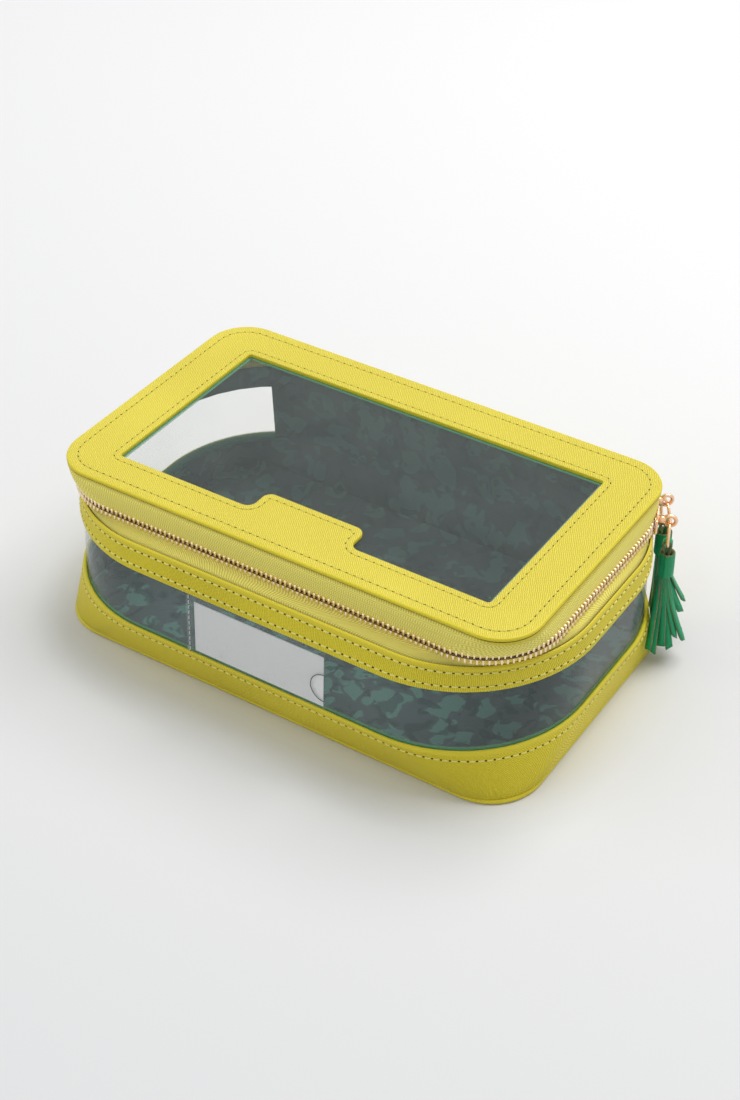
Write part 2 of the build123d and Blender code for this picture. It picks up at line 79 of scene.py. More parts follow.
@dataclass(frozen=True)
class Level:
    """One level of the outline: a rounded rectangle at a height, in millimetres."""

    length: float
    width: float
    radius: float
    height: float

    @property
    def flat(self) -> tuple:
        """Half of each side's straight stretch, which is the right rear corner's centre."""
        return self.length / 2 - self.radius, self.width / 2 - self.radius

    def inside(self, inset: float, height: float | None = None) -> "Level":
        """The level moved in by an inset, at another height if one is given."""
        level = self.height if height is None else height
        return Level(
            self.length - 2 * inset, self.width - 2 * inset, self.radius - inset, level
        )

    def mixed(self, other: "Level", share: float, height: float) -> "Level":
        """A level between this one and another.

        Args:
            other: The other level.
            share: 0 for this level's outline, 1 for the other's.
            height: The new level's height.

        Returns:
            The level.
        """
        ours = self.length, self.width, self.radius
        theirs = other.length, other.width, other.radius
        return Level(*(a + (b - a) * share for a, b in zip(ours, theirs)), height)

    def towards(self, other: "Level", height: float) -> "Level":
        """The level of a straight wall from this one to another, at a height."""
        return self.mixed(other, (height - self.height) / (other.height - self.height), height)

    def turned(self, side_x: int, side_y: int, turn: float) -> tuple:
        """One corner's stop at a turn in radians: x, y and the way out's x and y."""
        flat_x, flat_y = self.flat
        out_x, out_y = math.cos(turn), math.sin(turn)
        x, y = side_x * flat_x + self.radius * out_x, side_y * flat_y + self.radius * out_y
        return x, y, out_x, out_y

    def arc(self, side_x: int, side_y: int, start: float, steps: int) -> list:
        """Stops on one corner, a quarter turn from a start in degrees, without the last."""
        return [
            self.turned(side_x, side_y, math.radians(start + 90 * step / steps))
            for step in range(steps)
        ]

    def rear(self, gap: float, steps: int) -> list:
        """Stops from the cut at the back's left end to the end of the left rear corner.

        Args:
            gap: Half the length of the back that is left open.
            steps: How many stops.

        Returns:
            Rows of x, y and the outward direction's x and y.
        """
        straight = self.flat[0]
        run = max(0.0, straight - gap)
        first = 90.0
        if gap > straight:
            first = 180.0 - math.degrees(math.acos(min(1.0, (gap - straight) / self.radius)))
        bend = self.radius * math.radians(180.0 - first)
        stops = []
        for step in range(steps):
            along = (run + bend) * step / steps
            if along < run:
                stops.append((-gap - along, self.width / 2, 0.0, 1.0))
            else:
                turn = math.radians(first) + (along - run) / self.radius
                stops.append(self.turned(-1, 1, turn))
        return stops

    def run(self, gap: float = 0.0, corner: int = 16, side: int = 12) -> list:
        """Stops all round the level, from the back's left past the left, front and right.

        Args:
            gap: Half the length of the back that is left open, or 0 for a closed run.
            corner: Stops on each corner.
            side: Stops on each side.

        Returns:
            Rows of x, y and the outward direction's x and y.
        """
        flat_x, flat_y = self.flat
        half_x, half_y = self.length / 2, self.width / 2

        def line(a: tuple, b: tuple, out: tuple, steps: int) -> list:
            """Stops on a straight stretch, without the last."""
            return [
                (a[0] + (b[0] - a[0]) * step / steps, a[1] + (b[1] - a[1]) * step / steps, *out)
                for step in range(steps)
            ]

        if gap:
            head = self.rear(gap, corner + 4)
        else:
            head = line((0, half_y), (-flat_x, half_y), (0, 1), side)
            head += self.arc(-1, 1, 90, corner)
        middle = line((-half_x, flat_y), (-half_x, -flat_y), (-1, 0), side)
        middle += self.arc(-1, -1, 180, corner)
        middle += line((-flat_x, -half_y), (flat_x, -half_y), (0, -1), 2 * side)
        middle += self.arc(1, -1, 270, corner)
        middle += line((half_x, -flat_y), (half_x, flat_y), (1, 0), side)
        if gap:
            tail = [(half_x, flat_y, 1.0, 0.0)]
            tail += [(-x, y, -out_x, out_y) for x, y, out_x, out_y in reversed(head)]
        else:
            tail = self.arc(1, 1, 0, corner)
            tail += line((flat_x, half_y), (0, half_y), (0, 1), side)
        return head + middle + tail


BOTTOM = Level(223.4, 137.0, 22.0, 0.0)
BASE_TOP = Level(231.5, 155.5, 58.0, 24.0)
BAND_BOTTOM = Level(233.0, 153.0, 60.0, 53.0)
BAND_TOP = Level(229.5, 146.5, 54.0, 64.0)
CHAIN = Level(219.4, 132.0, 32.4, 68.0)
TAPE_TOP = Level(213.5, 129.5, 19.0, 76.9)
LID = Level(216.5, 128.5, 18.0, 78.2)


def base_level(height: float) -> Level:
    """The base's outline at a height."""
    return BOTTOM.towards(BASE_TOP, height)


def vinyl_level(height: float) -> Level:
    """The clear wall's outline at a height, with its tucked ends behind both bands."""
    if height < BASE_TOP.height:
        return base_level(height)
    if height > BAND_BOTTOM.height:
        return band_level(height)
    return BASE_TOP.towards(BAND_BOTTOM, height)


def band_level(height: float) -> Level:
    """The upper band's outline at a height."""
    return BAND_BOTTOM.towards(BAND_TOP, height)


def circle(count: int) -> list:
    """Even turns round a circle, as cosine and sine."""
    turns = [math.tau * step / count for step in range(count)]
    return [(math.cos(turn), math.sin(turn)) for turn in turns]


def eased(share: float) -> float:
    """A share from 0 to 1, softened at both ends."""
    return share * share * (3 - 2 * share)


class Nodes:
    """A node tree, built by short calls."""

    def __init__(self, tree: bpy.types.NodeTree) -> None:
        """Take the tree."""
        self.nodes, self.links = tree.nodes, tree.links

    def feed(self, socket: Socket, value: object) -> None:
        """Link another socket to a socket, or set it; a colour of three numbers is made opaque."""
        if isinstance(value, Socket):
            self.links.new(value, socket)
        elif socket.type == "RGBA" and len(value) == 3:
            socket.default_value = (*value, 1)
        else:
            socket.default_value = value

    def node(self, kind: str, *values: object, **inputs: object) -> bpy.types.Node:
        """Add a shader node and fill its inputs in order, and by name."""
        made = self.nodes.new("ShaderNode" + kind)
        for socket, value in zip(made.inputs, values):
            self.feed(socket, value)
        for name, value in inputs.items():
            self.feed(made.inputs[name.replace("_", " ")], value)
        return made

    def math(self, operation: str, *values: object) -> Socket:
        """The result of a Math node on up to three values."""
        made = self.node("Math", *values)
        made.operation = operation
        return made.outputs[0]

    def seen(self) -> Socket:
        """1 for what is seen, also mirrored or through the vinyl, and 0 for its light."""
        rays = self.node("LightPath").outputs
        either = self.math("MAXIMUM", rays["Is Camera Ray"], rays["Is Glossy Ray"])
        return self.math("MAXIMUM", either, rays["Is Transmission Ray"])


class Graph(Nodes):
    """A material's nodes, which end in its main shader."""

    def __init__(self, name: str) -> None:
        """Start a material of that name."""
        self.material = bpy.data.materials.new(name)
        self.material.use_nodes = True
        super().__init__(self.material.node_tree)
        self.shader = self.nodes["Principled BSDF"]

    def finish(self, **inputs: object) -> Material:
        """Fill the shader's sockets by name and hand over the material."""
        for name, value in inputs.items():
            self.feed(self.shader.inputs[name.replace("_", " ")], value)
        return self.material

    def noise(self, where: Socket, scale: float, detail: float = 3.0) -> Socket:
        """Noise from 0 to 1 at a place."""
        return self.node("TexNoise", Vector=where, Scale=scale, Detail=detail).outputs["Fac"]

    def mapped(self) -> tuple:
        """The piece's map in millimetres, as u, v and the two together."""
        where = self.node("UVMap").outputs[0]
        parts = self.node("SeparateXYZ", where).outputs
        return parts[0], parts[1], where

    def placed(self) -> Socket:
        """The place in the case, in metres."""
        return self.node("TexCoord").outputs["Object"]

    def mix(self, share: object, first: object, second: object) -> Socket:
        """Two colours mixed by a share."""
        made = self.node("Mix")
        made.data_type = "RGBA"
        for index, value in zip((0, 6, 7), (share, first, second)):
            self.feed(made.inputs[index], value)
        return made.outputs[2]

    def ramp(self, value: Socket, low: float, high: float) -> Socket:
        """A value stretched so that low gives 0 and high gives 1, smoothly."""
        made = self.node("MapRange", value, low, high)
        made.interpolation_type = "SMOOTHSTEP"
        return made.outputs[0]

    def ridges(
        self, u: object, v: object, angle: float, pitch: float, sway: object, much: float
    ) -> Socket:
        """Ridges across the map, from 0 to 1.

        Args:
            u: The map's u, in millimetres.
            v: The map's v, in millimetres.
            angle: Direction across the ridges, in degrees.
            pitch: Distance between ridges in millimetres.
            sway: Noise that bends the ridges.
            much: How far it bends them, in turns.

        Returns:
            The ridges' height.
        """
        turn = math.radians(angle)
        along = self.math("MULTIPLY", u, math.cos(turn) * 2 * math.pi / pitch)
        across = self.math("MULTIPLY", v, math.sin(turn) * 2 * math.pi / pitch)
        bent = self.math("MULTIPLY_ADD", sway, much * 2 * math.pi, self.math("ADD", along, across))
        return self.math("MULTIPLY_ADD", self.math("SINE", bent), 0.5, 0.5)

    def bump(self, height: Socket, strength: float, depth: float) -> Socket:
        """The surface's way out, raised by a height with a depth in millimetres."""
        made = self.node("Bump", Strength=strength, Distance=depth * MM, Height=height)
        return made.outputs[0]


@dataclass(frozen=True)
class Saffiano:
    """Cross-grained leather cloth: fine slanting ridges cut by a second, weaker set."""

    name: str
    ridge: tuple
    valley: tuple
    pitch: float = 0.72
    angle: float = 45.0
    roughness: float = 0.46
    depth: float = 0.13

    def make(self) -> Material:
        """Build the leather's material."""
        graph = Graph(self.name)
        u, v, where = graph.mapped()
        sway = graph.noise(where, 0.55)
        main = graph.ridges(u, v, self.angle, self.pitch, sway, 1.5)
        cross = graph.ridges(u, v, self.angle - 78.0, self.pitch * 1.9, sway, 2.2)
        speck = graph.noise(where, 1.9, 2.0)
        breaks = graph.math("MULTIPLY_ADD", cross, 0.45, 0.55)
        grain = graph.math("MULTIPLY_ADD", speck, 0.45, graph.math("MULTIPLY", main, breaks))
        cover = graph.ramp(grain, 0.3, 0.85)
        broad = graph.ramp(graph.noise(graph.placed(), 14.0, 2.0), 0.35, 0.7)
        shade = graph.mix(cover, self.valley, self.ridge)
        worn = tuple(min(1.0, c * 1.09 + 0.004) for c in self.ridge)
        return graph.finish(
            Base_Color=graph.mix(graph.math("MULTIPLY", broad, 0.35), shade, worn),
            Roughness=graph.math("MULTIPLY_ADD", cover, -0.1, self.roughness + 0.08),
            Specular_IOR_Level=0.35,
            Normal=graph.bump(grain, 1.0, self.depth),
        )


@dataclass(frozen=True)
class WovenTape:
    """Zipper tape: a fine slanted weave in pale thread."""

    name: str
    thread: tuple
    gap: tuple
    pitch: float = 0.8

    def make(self) -> Material:
        """Build the tape's material."""
        graph = Graph(self.name)
        u, v, where = graph.mapped()
        folded = graph.math("PINGPONG", v, 1.15)
        lean = graph.ridges(u, folded, 42.0, self.pitch, graph.noise(where, 1.6, 2.0), 0.12)
        wale = graph.ramp(graph.math("ABSOLUTE", graph.math("SUBTRACT", folded, 0.58)), 0.62, 0.45)
        cells = graph.math("MULTIPLY", lean, graph.math("MULTIPLY_ADD", wale, 0.35, 0.65))
        fuzz = graph.noise(where, 5.0, 2.0)
        height = graph.math("MULTIPLY_ADD", fuzz, 0.35, graph.math("MULTIPLY", cells, 0.8))
        return graph.finish(
            Base_Color=graph.mix(graph.ramp(height, 0.2, 0.85), self.gap, self.thread),
            Roughness=graph.math("MULTIPLY_ADD", fuzz, -0.1, 0.86),
            Specular_IOR_Level=0.3,
            Sheen_Weight=0.08,
            Sheen_Roughness=0.5,
            Normal=graph.bump(height, 0.9, 0.12),
        )


@dataclass(frozen=True)
class SewingThread:
    """Twisted sewing thread in one colour."""

    name: str
    light: tuple
    dark: tuple

    def make(self) -> Material:
        """Build the thread's material."""
        graph = Graph(self.name)
        u, v, where = graph.mapped()
        twist = graph.ridges(u, v, 40.0, 0.35, graph.noise(where, 3.0), 0.1)
        return graph.finish(
            Base_Color=graph.mix(twist, self.dark, self.light),
            Roughness=graph.math("MULTIPLY_ADD", twist, -0.15, 0.7),
            Sheen_Weight=0.2,
            Normal=graph.bump(twist, 0.7, 0.06),
        )


@dataclass(frozen=True)
class Plated:
    """Polished rose gold plate over cast metal, a little duller where hands touch it."""

    name: str
    tone: tuple
    worn: tuple
    roughness: float = 0.17

    def make(self) -> Material:
        """Build the plate's material."""
        graph = Graph(self.name)
        where = graph.placed()
        film = graph.noise(where, 420.0)
        return graph.finish(
            Base_Color=graph.mix(graph.ramp(film, 0.35, 0.7), self.worn, self.tone),
            Metallic=1.0,
            Roughness=graph.math("MULTIPLY_ADD", film, 0.16, self.roughness),
            Normal=graph.bump(graph.noise(where, 2600.0, 2.0), 0.25, 0.02),
        )


@dataclass(frozen=True)
class ClearVinyl:
    """Clear vinyl sheet: nearly unseen face on, glossy at a slant and green along its cut edge.

    A wall has its rim below a height, a pane outside half its length and width, in metres.
    """

    name: str
    tint: tuple = (0.5, 0.59, 0.56)
    edge: tuple = (0.13, 0.42, 0.3)
    rim_height: float | None = None
    rim_half: tuple | None = None

    def rim(self, graph: Graph, where: Socket) -> Socket | None:
        """1 on the cut edge and 0 elsewhere, or None for a sheet that shows none."""
        x, y, z = graph.node("SeparateXYZ", where).outputs
        if self.rim_height is not None:
            above = graph.ramp(z, self.rim_height, self.rim_height + MM)
            return graph.math("SUBTRACT", 1.0, above)
        if self.rim_half is None:
            return None
        over_x = graph.math("SUBTRACT", graph.math("ABSOLUTE", x), self.rim_half[0])
        shifted = graph.math("ADD", y, MM)
        over_y = graph.math("SUBTRACT", graph.math("ABSOLUTE", shifted), self.rim_half[1])
        return graph.ramp(graph.math("MAXIMUM", over_x, over_y), -0.4 * MM, 0.4 * MM)

    def make(self) -> Material:
        """Build the sheet's material."""
        graph = Graph(self.name)
        where = graph.placed()
        rim = self.rim(graph, where)
        slant = graph.node("LayerWeight", Blend=0.28).outputs["Facing"]
        film = graph.noise(where, 55.0, 2.0)
        glance = graph.math("MULTIPLY_ADD", graph.math("POWER", slant, 2.4), 0.6, 0.03)
        shade, cover = self.tint, graph.math("MULTIPLY_ADD", film, 0.03, glance)
        if rim is not None:
            shade = graph.mix(rim, self.tint, self.edge)
            cover = graph.math("MINIMUM", graph.math("MULTIPLY_ADD", rim, 0.62, cover), 1.0)
        return graph.finish(
            Base_Color=shade,
            Alpha=cover,
            Roughness=graph.math("MULTIPLY_ADD", film, 0.05, 0.05),
            Specular_IOR_Level=1.0,
            Coat_Weight=0.6,
            Coat_Roughness=0.04,
            Normal=graph.bump(graph.noise(where, 18.0, 1.0), 0.35, 1.2),
        )


@dataclass(frozen=True)
class PrintedLining:
    """Lining cloth with a mottled print of soft blots in grey and teal."""

    name: str
    ground: tuple = (0.062, 0.088, 0.092)
    blot: tuple = (0.095, 0.205, 0.18)
    shadow: tuple = (0.026, 0.042, 0.046)

    def make(self) -> Material:
        """Build the lining's material."""
        graph = Graph(self.name)
        where = graph.placed()
        sway = graph.node("TexNoise", Vector=where, Scale=70.0, Detail=2.0).outputs["Color"]
        bent = graph.node("VectorMath")
        bent.operation = "MULTIPLY_ADD"
        for socket, value in zip(bent.inputs, (sway, (0.02, 0.02, 0.02), where)):
            graph.feed(socket, value)
        cells = graph.node("TexVoronoi", Vector=bent.outputs[0], Scale=95.0)
        blots = graph.ramp(cells.outputs["Distance"], 0.5, 0.42)
        veins = graph.ramp(graph.noise(bent.outputs[0], 150.0, 2.0), 0.54, 0.58)
        shade = graph.mix(graph.math("MULTIPLY", blots, 0.8), self.ground, self.blot)
        weave = graph.noise(where, 1500.0, 1.0)
        return graph.finish(
            Base_Color=graph.mix(graph.math("MULTIPLY", veins, 0.65), shade, self.shadow),
            Roughness=graph.math("MULTIPLY_ADD", weave, 0.1, 0.72),
            Specular_IOR_Level=0.3,
            Normal=graph.bump(weave, 0.4, 0.08),
        )


@dataclass(frozen=True)
class Fibrous:
    """Matt fibre in two colours: card, board, a raw cut edge, the painted shadow line or the painted
    shade of a needle hole.
    """

    name: str
    under: tuple
    over: tuple
    roughness: float = 0.85
    scale: float = 1800.0
    detail: float = 3.0
    band: tuple = (0.35, 0.65)
    relief: tuple = (0.3, 0.05)

    def make(self) -> Material:
        """Build the fibre's material."""
        graph = Graph(self.name)
        fibre = graph.noise(graph.placed(), self.scale, self.detail)
        return graph.finish(
            Base_Color=graph.mix(graph.ramp(fibre, *self.band), self.under, self.over),
            Roughness=graph.math("MULTIPLY_ADD", fibre, 0.1, self.roughness),
            Normal=graph.bump(fibre, *self.relief),
        )


@dataclass(frozen=True)
class Studio:
    """The pale seamless floor, painted darker at the front and lighter at the back as painted shade,
    which fades to paper white far from the case.
    """

    name: str
    near: tuple = (0.755, 0.76, 0.77)
    far: tuple = (0.915, 0.915, 0.92)
    paper: tuple = (0.912, 0.921, 0.94)

    def make(self) -> Material:
        """Build the floor's material."""
        graph = Graph(self.name)
        where = graph.placed()
        # Painted shade: the floor's colour runs from the greyer near tone at the front to the paler
        # far tone at the back.
        back = graph.ramp(graph.node("SeparateXYZ", where).outputs[1], -0.45, 0.75)
        away = graph.node("VectorMath", where)
        away.operation = "LENGTH"
        share = graph.math("MULTIPLY", graph.ramp(away.outputs["Value"], 0.5, 1.5), graph.seen())
        paper = graph.node("Emission", Color=self.paper, Strength=1.0).outputs[0]
        blend = graph.node("MixShader", share, graph.shader.outputs[0], paper)
        graph.feed(graph.nodes["Material Output"].inputs["Surface"], blend.outputs[0])
        return graph.finish(
            Base_Color=graph.mix(back, self.near, self.far), Roughness=0.9, Specular_IOR_Level=0.1
        )


def coat(recipe: object) -> Material:
    """A field that holds the material of a recipe."""
    return field(default_factory=recipe.make)


CARD = {"scale": 900.0, "detail": 4.0, "band": (0.55, 0.8), "relief": (0.2, 0.03)}


@dataclass
class Finishes:
    """Every finish of the case, each made once."""

    base: Material = coat(Saffiano(
        "chartreuse_base_grain", (0.88, 0.745, 0.03), (0.53, 0.425, 0.008), angle=50.0, depth=0.19))
    band: Material = coat(Saffiano(
        "chartreuse_band_grain", (0.88, 0.745, 0.03), (0.55, 0.44, 0.009), angle=14.0, depth=0.17))
    # Partly painted sheen: the lid's copy of the chartreuse leather is paler and less saturated than
    # the base's, standing in for the top's gloss under the overhead light; its grain angle is its
    # own.
    top: Material = coat(Saffiano(
        "chartreuse_lid_grain_painted_sheen", (0.85, 0.73, 0.085), (0.6, 0.495, 0.038), angle=24.0))
    turned: Material = coat(Saffiano(
        "chartreuse_turned_edge", (0.78, 0.655, 0.032), (0.69, 0.57, 0.022),
        pitch=0.85, angle=50.0, roughness=0.38, depth=0.03))
    # Painted shadow: a near-black line painted under the lid's rolled edge and inside the band's
    # lip, where shade falls between the leather and the tape.
    painted_shadow: Material = coat(Fibrous(
        "painted_shadow_line", (0.05, 0.04, 0.006), (0.14, 0.11, 0.012), 0.75))
    green: Material = coat(Saffiano(
        "green_saffiano", (0.012, 0.45, 0.18), (0.002, 0.19, 0.065),
        pitch=0.65, angle=40.0, roughness=0.4, depth=0.09))
    green_edge: Material = coat(Fibrous("tassel_cut_edge", (0.1, 0.14, 0.06), (0.25, 0.24, 0.12)))
    tape: Material = coat(WovenTape("pale_woven_tape", (0.97, 0.87, 0.22), (0.7, 0.6, 0.09)))
    thread: Material = coat(SewingThread("yellow_thread", (1.0, 0.93, 0.3), (0.85, 0.76, 0.14)))
    lid_thread: Material = coat(SewingThread("flush_thread", (0.84, 0.73, 0.1), (0.6, 0.5, 0.05)))
    clear_thread: Material = coat(SewingThread(
        "pale_thread", (0.75, 0.77, 0.76), (0.5, 0.54, 0.53)))
    # Painted shade: each needle hole is a near-black disc on the leather, standing in for the shade
    # inside the hole.
    hole: Material = coat(Fibrous("needle_hole_painted_shade", (0.02, 0.016, 0.003), (0.06, 0.048, 0.006), 0.8))
    binding: Material = coat(Fibrous(
        "chartreuse_binding", (0.64, 0.53, 0.022), (0.76, 0.64, 0.035), 0.5))
    notch: Material = coat(Fibrous("pocket_cut_edge", (0.06, 0.08, 0.08), (0.12, 0.16, 0.15), 0.35))
    gold: Material = coat(Plated("rose_gold_plate", (0.93, 0.64, 0.42), (0.86, 0.54, 0.33)))
    teeth: Material = coat(Plated("pale_gold_teeth", (1.0, 0.84, 0.6), (0.95, 0.72, 0.46), 0.3))
    # Painted shade: the teeth's meshing tips are coloured dark bronze to stand in for the shade
    # between the meshing heads in the chain's middle.
    teeth_tip_shade: Material = coat(Plated(
        "painted_shade_tips", (0.26, 0.16, 0.09), (0.1, 0.06, 0.035), 0.35))
    wall: Material = coat(ClearVinyl("clear_vinyl_wall", rim_height=24.6 * MM))
    pane: Material = coat(ClearVinyl("clear_vinyl_pane", rim_half=(84.9 * MM, 43.9 * MM)))
    pocket: Material = coat(ClearVinyl("clear_vinyl_pocket"))
    lining: Material = coat(PrintedLining("mottled_lining"))
    card: Material = coat(Fibrous(
        "white_card", (0.83, 0.83, 0.83), (0.72, 0.72, 0.71), 0.7, **CARD))
    board: Material = coat(Fibrous("grey_board", (0.4, 0.37, 0.3), (0.3, 0.27, 0.21), 0.7, **CARD))
    floor: Material = coat(Studio("studio_floor"))


class Draft:
    """Points in millimetres, with faces, maps and finishes, gathered before they become a piece."""

    def __init__(self) -> None:
        """Start with nothing."""
        self.points: list[Vector] = []
        self.faces: list[tuple] = []
        self.maps: list[tuple] = []
        self.marks: list[int] = []

    def face(self, corners: tuple, maps: tuple, mark: int = 0) -> None:
        """Add a face with a map place for each corner and the number of its finish."""
        self.faces.append(corners)
        self.maps.append(maps)
        self.marks.append(mark)

    def rows(
        self, rows: list, around: bool = False, wrapped: bool = False,
        marks: list | None = None, sides: tuple = (),
    ) -> int:
        """Sew rows of points into quads, mapped by their own lengths.

        Args:
            rows: Lists of points, all of one length.
            around: Whether each row closes on itself.
            wrapped: Whether the last row is sewn to the first.
            marks: A finish for each strip between two rows, or None.
            sides: Without marks, the places in a row whose faces get the second finish.

        Returns:
            The number of the first point.
        """
        first, count = len(self.points), len(rows[0])
        for row in rows:
            self.points.extend(Vector(p) for p in row)
        middle = rows[len(rows) // 2]
        us, vs = [0.0], [0.0]
        for step in range(count):
            us.append(us[-1] + (Vector(middle[(step + 1) % count]) - Vector(middle[step])).length)
        for step in range(len(rows)):
            after = rows[(step + 1) % len(rows)]
            vs.append(vs[-1] + (Vector(after[0]) - Vector(rows[step][0])).length)
        for strip in range(len(rows) if wrapped else len(rows) - 1):
            low, high = first + strip * count, first + ((strip + 1) % len(rows)) * count
            for step in range(count if around else count - 1):
                after = (step + 1) % count
                (u, next_u), (v, next_v) = us[step:step + 2], vs[strip:strip + 2]
                self.face(
                    (low + step, low + after, high + after, high + step),
                    ((u, v), (next_u, v), (next_u, next_v), (u, next_v)),
                    marks[strip] if marks else int(step in sides),
                )
        return first

    def cap(self, corners: object, mark: int = 0) -> None:
        """Close a hole with one face, mapped flat on its own two widest directions."""
        points = [self.points[c] for c in corners]
        spans = [max(p[i] for p in points) - min(p[i] for p in points) for i in range(3)]
        a, b = sorted(sorted(range(3), key=lambda i: -spans[i])[:2])
        self.face(tuple(corners), tuple((p[a], p[b]) for p in points), mark)

    def tube(
        self, rows: list, marks: list | None = None, sides: tuple = (), caps: tuple = (0, 0)
    ) -> None:
        """Sew closed rows into a solid with both ends closed.

        Args:
            rows: The sections, from one end to the other.
            marks: A finish for each strip, or None.
            sides: Without marks, the places in a row whose faces get the second finish.
            caps: The finishes of the first and the last end.
        """
        first, count = self.rows(rows, around=True, marks=marks, sides=sides), len(rows[0])
        last = first + count * (len(rows) - 1)
        self.cap(range(first, first + count), caps[0])
        self.cap(range(last, last + count), caps[1])

    def piece(self, name: str, finishes: list, outward: bool = True) -> Piece:
        """Make the piece.

        Args:
            name: The piece's name.
            finishes: Its materials, by number.
            outward: Whether its faces are turned outward first.

        Returns:
            The new object.
        """
        mesh = bpy.data.meshes.new(name)
        mesh.from_pydata([tuple(p * MM) for p in self.points], [], self.faces)
        flat = [value for maps in self.maps for place in maps for value in place]
        mesh.uv_layers.new(name="millimetres").data.foreach_set("uv", flat)
        for finish in finishes:
            mesh.materials.append(finish)
        mesh.polygons.foreach_set("material_index", self.marks)
        mesh.polygons.foreach_set("use_smooth", [True] * len(mesh.polygons))
        if outward:
            work = bmesh.new()
            work.from_mesh(mesh)
            bmesh.ops.recalc_face_normals(work, faces=work.faces)
            work.to_mesh(mesh)
            work.free()
        mesh.update()
        piece = bpy.data.objects.new(name, mesh)
        bpy.context.scene.collection.objects.link(piece)
        LOG.info("%s: %d faces", name, len(self.faces))
        return piece

    def settle(
        self, name: str, finishes: list, body: str, slot: str, *nodes: str, outward: bool = True
    ) -> None:
        """Make the piece, let it ride on a body and hide the CAD nodes that it stands for.

        Args:
            name: The piece's name.
            finishes: Its materials, by number.
            body: The body that it rides on.
            slot: The record's material slot; not used.
            *nodes: The CAD nodes that it replaces.
            outward: Whether its faces are turned outward first.
        """
        piece = self.piece(name, finishes, outward)
        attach(piece, body)
        if nodes:
            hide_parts(*nodes)


@dataclass
class Seam:
    """A lockstitch seam: raised threads with a needle hole between each two, painted as a dark disc
    of shade.
    """

    finishes: Finishes
    pitch: float = 3.4
    thread: float = 0.36
    hole: float = 0.52
    sunk: float = 0.0
    draft: Draft = field(default_factory=Draft)

    def path(self, points: list, normals: list, closed: bool) -> list:
        """Places along a line at the stitch pitch.

        Args:
            points: The line.
            normals: The way out of the leather at each point.
            closed: Whether the line closes on itself.

        Returns:
            Pairs of point and normal.
        """
        line = [(Vector(p), Vector(n).normalized()) for p, n in zip(points, normals)]
        if closed:
            line.append(line[0])
        total = sum((b[0] - a[0]).length for a, b in zip(line, line[1:]))
        count = max(1, round(total / self.pitch))
        step = total / count
        places, passed, goal = [], 0.0, 0.0
        for (a, normal_a), (b, normal_b) in zip(line, line[1:]):
            length = (b - a).length
            while goal <= passed + length + 1e-6 and len(places) <= count:
                share = (goal - passed) / length if length > 1e-9 else 0.0
                places.append((a.lerp(b, share), normal_a.lerp(normal_b, share).normalized()))
                goal += step
            passed += length
        return places

    def sew(self, points: list, normals: list, closed: bool = False) -> None:
        """Add a row of stitches along a line on the leather.

        Args:
            points: The line.
            normals: The way out of the leather at each point.
            closed: Whether the line closes on itself.
        """
        places = self.path(points, normals, closed)
        for (a, up_a), (b, up_b) in zip(places, places[1:]):
            self.stitch(a, b, (up_a + up_b).normalized())
        last = len(places) - 1
        for index, (place, up) in enumerate(places[:-1] if closed else places):
            other = places[index + 1 if index < last else index - 1][0]
            self.needle(place, up, (other - place).normalized())

    def stitch(self, a: Vector, b: Vector, up: Vector) -> None:
        """Add one thread from hole to hole, low at its ends."""
        side = (b - a).normalized().cross(up).normalized()
        rows = []
        for share, lift, fat in (
            (0.13, -0.14, 0.6), (0.2, 0.08, 0.9), (0.35, 0.18, 1.0),
            (0.5, 0.21, 1.05), (0.65, 0.18, 1.0), (0.8, 0.08, 0.9), (0.87, -0.14, 0.6),
        ):
            centre = a.lerp(b, share) + up * (lift - 0.02 - self.sunk)
            rows.append([
                centre + side * across * self.thread * fat + up * rise * self.thread * 0.8 * fat
                for across, rise in circle(6)
            ])
        self.draft.rows(rows, around=True)

    def needle(self, place: Vector, up: Vector, along: Vector) -> None:
        """Add the hole that two stitches share, stretched along the row: a flat disc in painted
        shade.
        """
        side = along.cross(up).normalized()
        points, corners = self.draft.points, 8
        first = len(points)
        points.append(place + up * 0.045)
        for far, across in circle(corners):
            points.append(
                place + up * 0.06 + along * far * self.hole + side * across * self.hole * 0.8
            )
        for corner in range(corners):
            around = (first, first + 1 + corner, first + 1 + (corner + 1) % corners)
            self.draft.face(around, ((0, 0), (1, 0), (1, 1)), 1)

    def settle(self, name: str, body: str, thread: Material | None = None) -> None:
        """Make the seam one piece that rides on a body, in the usual thread or another."""
        finishes = [thread or self.finishes.thread, self.finishes.hole]
        self.draft.settle(name, finishes, body, "woven_tape", outward=False)


def wall_normals(level_at: object, height: float, inset: float, gap: float, **steps: int) -> tuple:
    """A line round a leaning wall and the way out of it.

    Args:
        level_at: Gives the wall's level at a height.
        height: The line's height.
        inset: How far the line lies inside the level.
        gap: Half the length left open at the back.
        **steps: Stops on corners and sides.

    Returns:
        The line's points and its normals.
    """
    low = level_at(height - 0.5).inside(inset).run(gap, **steps)
    high = level_at(height + 0.5).inside(inset).run(gap, **steps)
    here = level_at(height).inside(inset).run(gap, **steps)
    points, normals = [], []
    for a, b, c in zip(low, high, here):
        rise = Vector((b[0] - a[0], b[1] - a[1], 1.0))
        out = Vector((c[2], c[3], 0.0))
        along = Vector((0, 0, 1)).cross(out)
        normal = along.cross(rise)
        points.append(Vector((c[0], c[1], height)))
        normals.append(normal if normal.dot(out) > 0 else -normal)
    return points, normals


def wall_rows(level_at: object, profile: list, gap: float = 0.0, **steps: int) -> list:
    """Rows of a wall whose cut follows a profile of heights and insets."""
    rows = []
    for height, inset in profile:
        stops = level_at(height).inside(inset).run(gap, **steps)
        rows.append([(x, y, height) for x, y, _, _ in stops])
    return rows


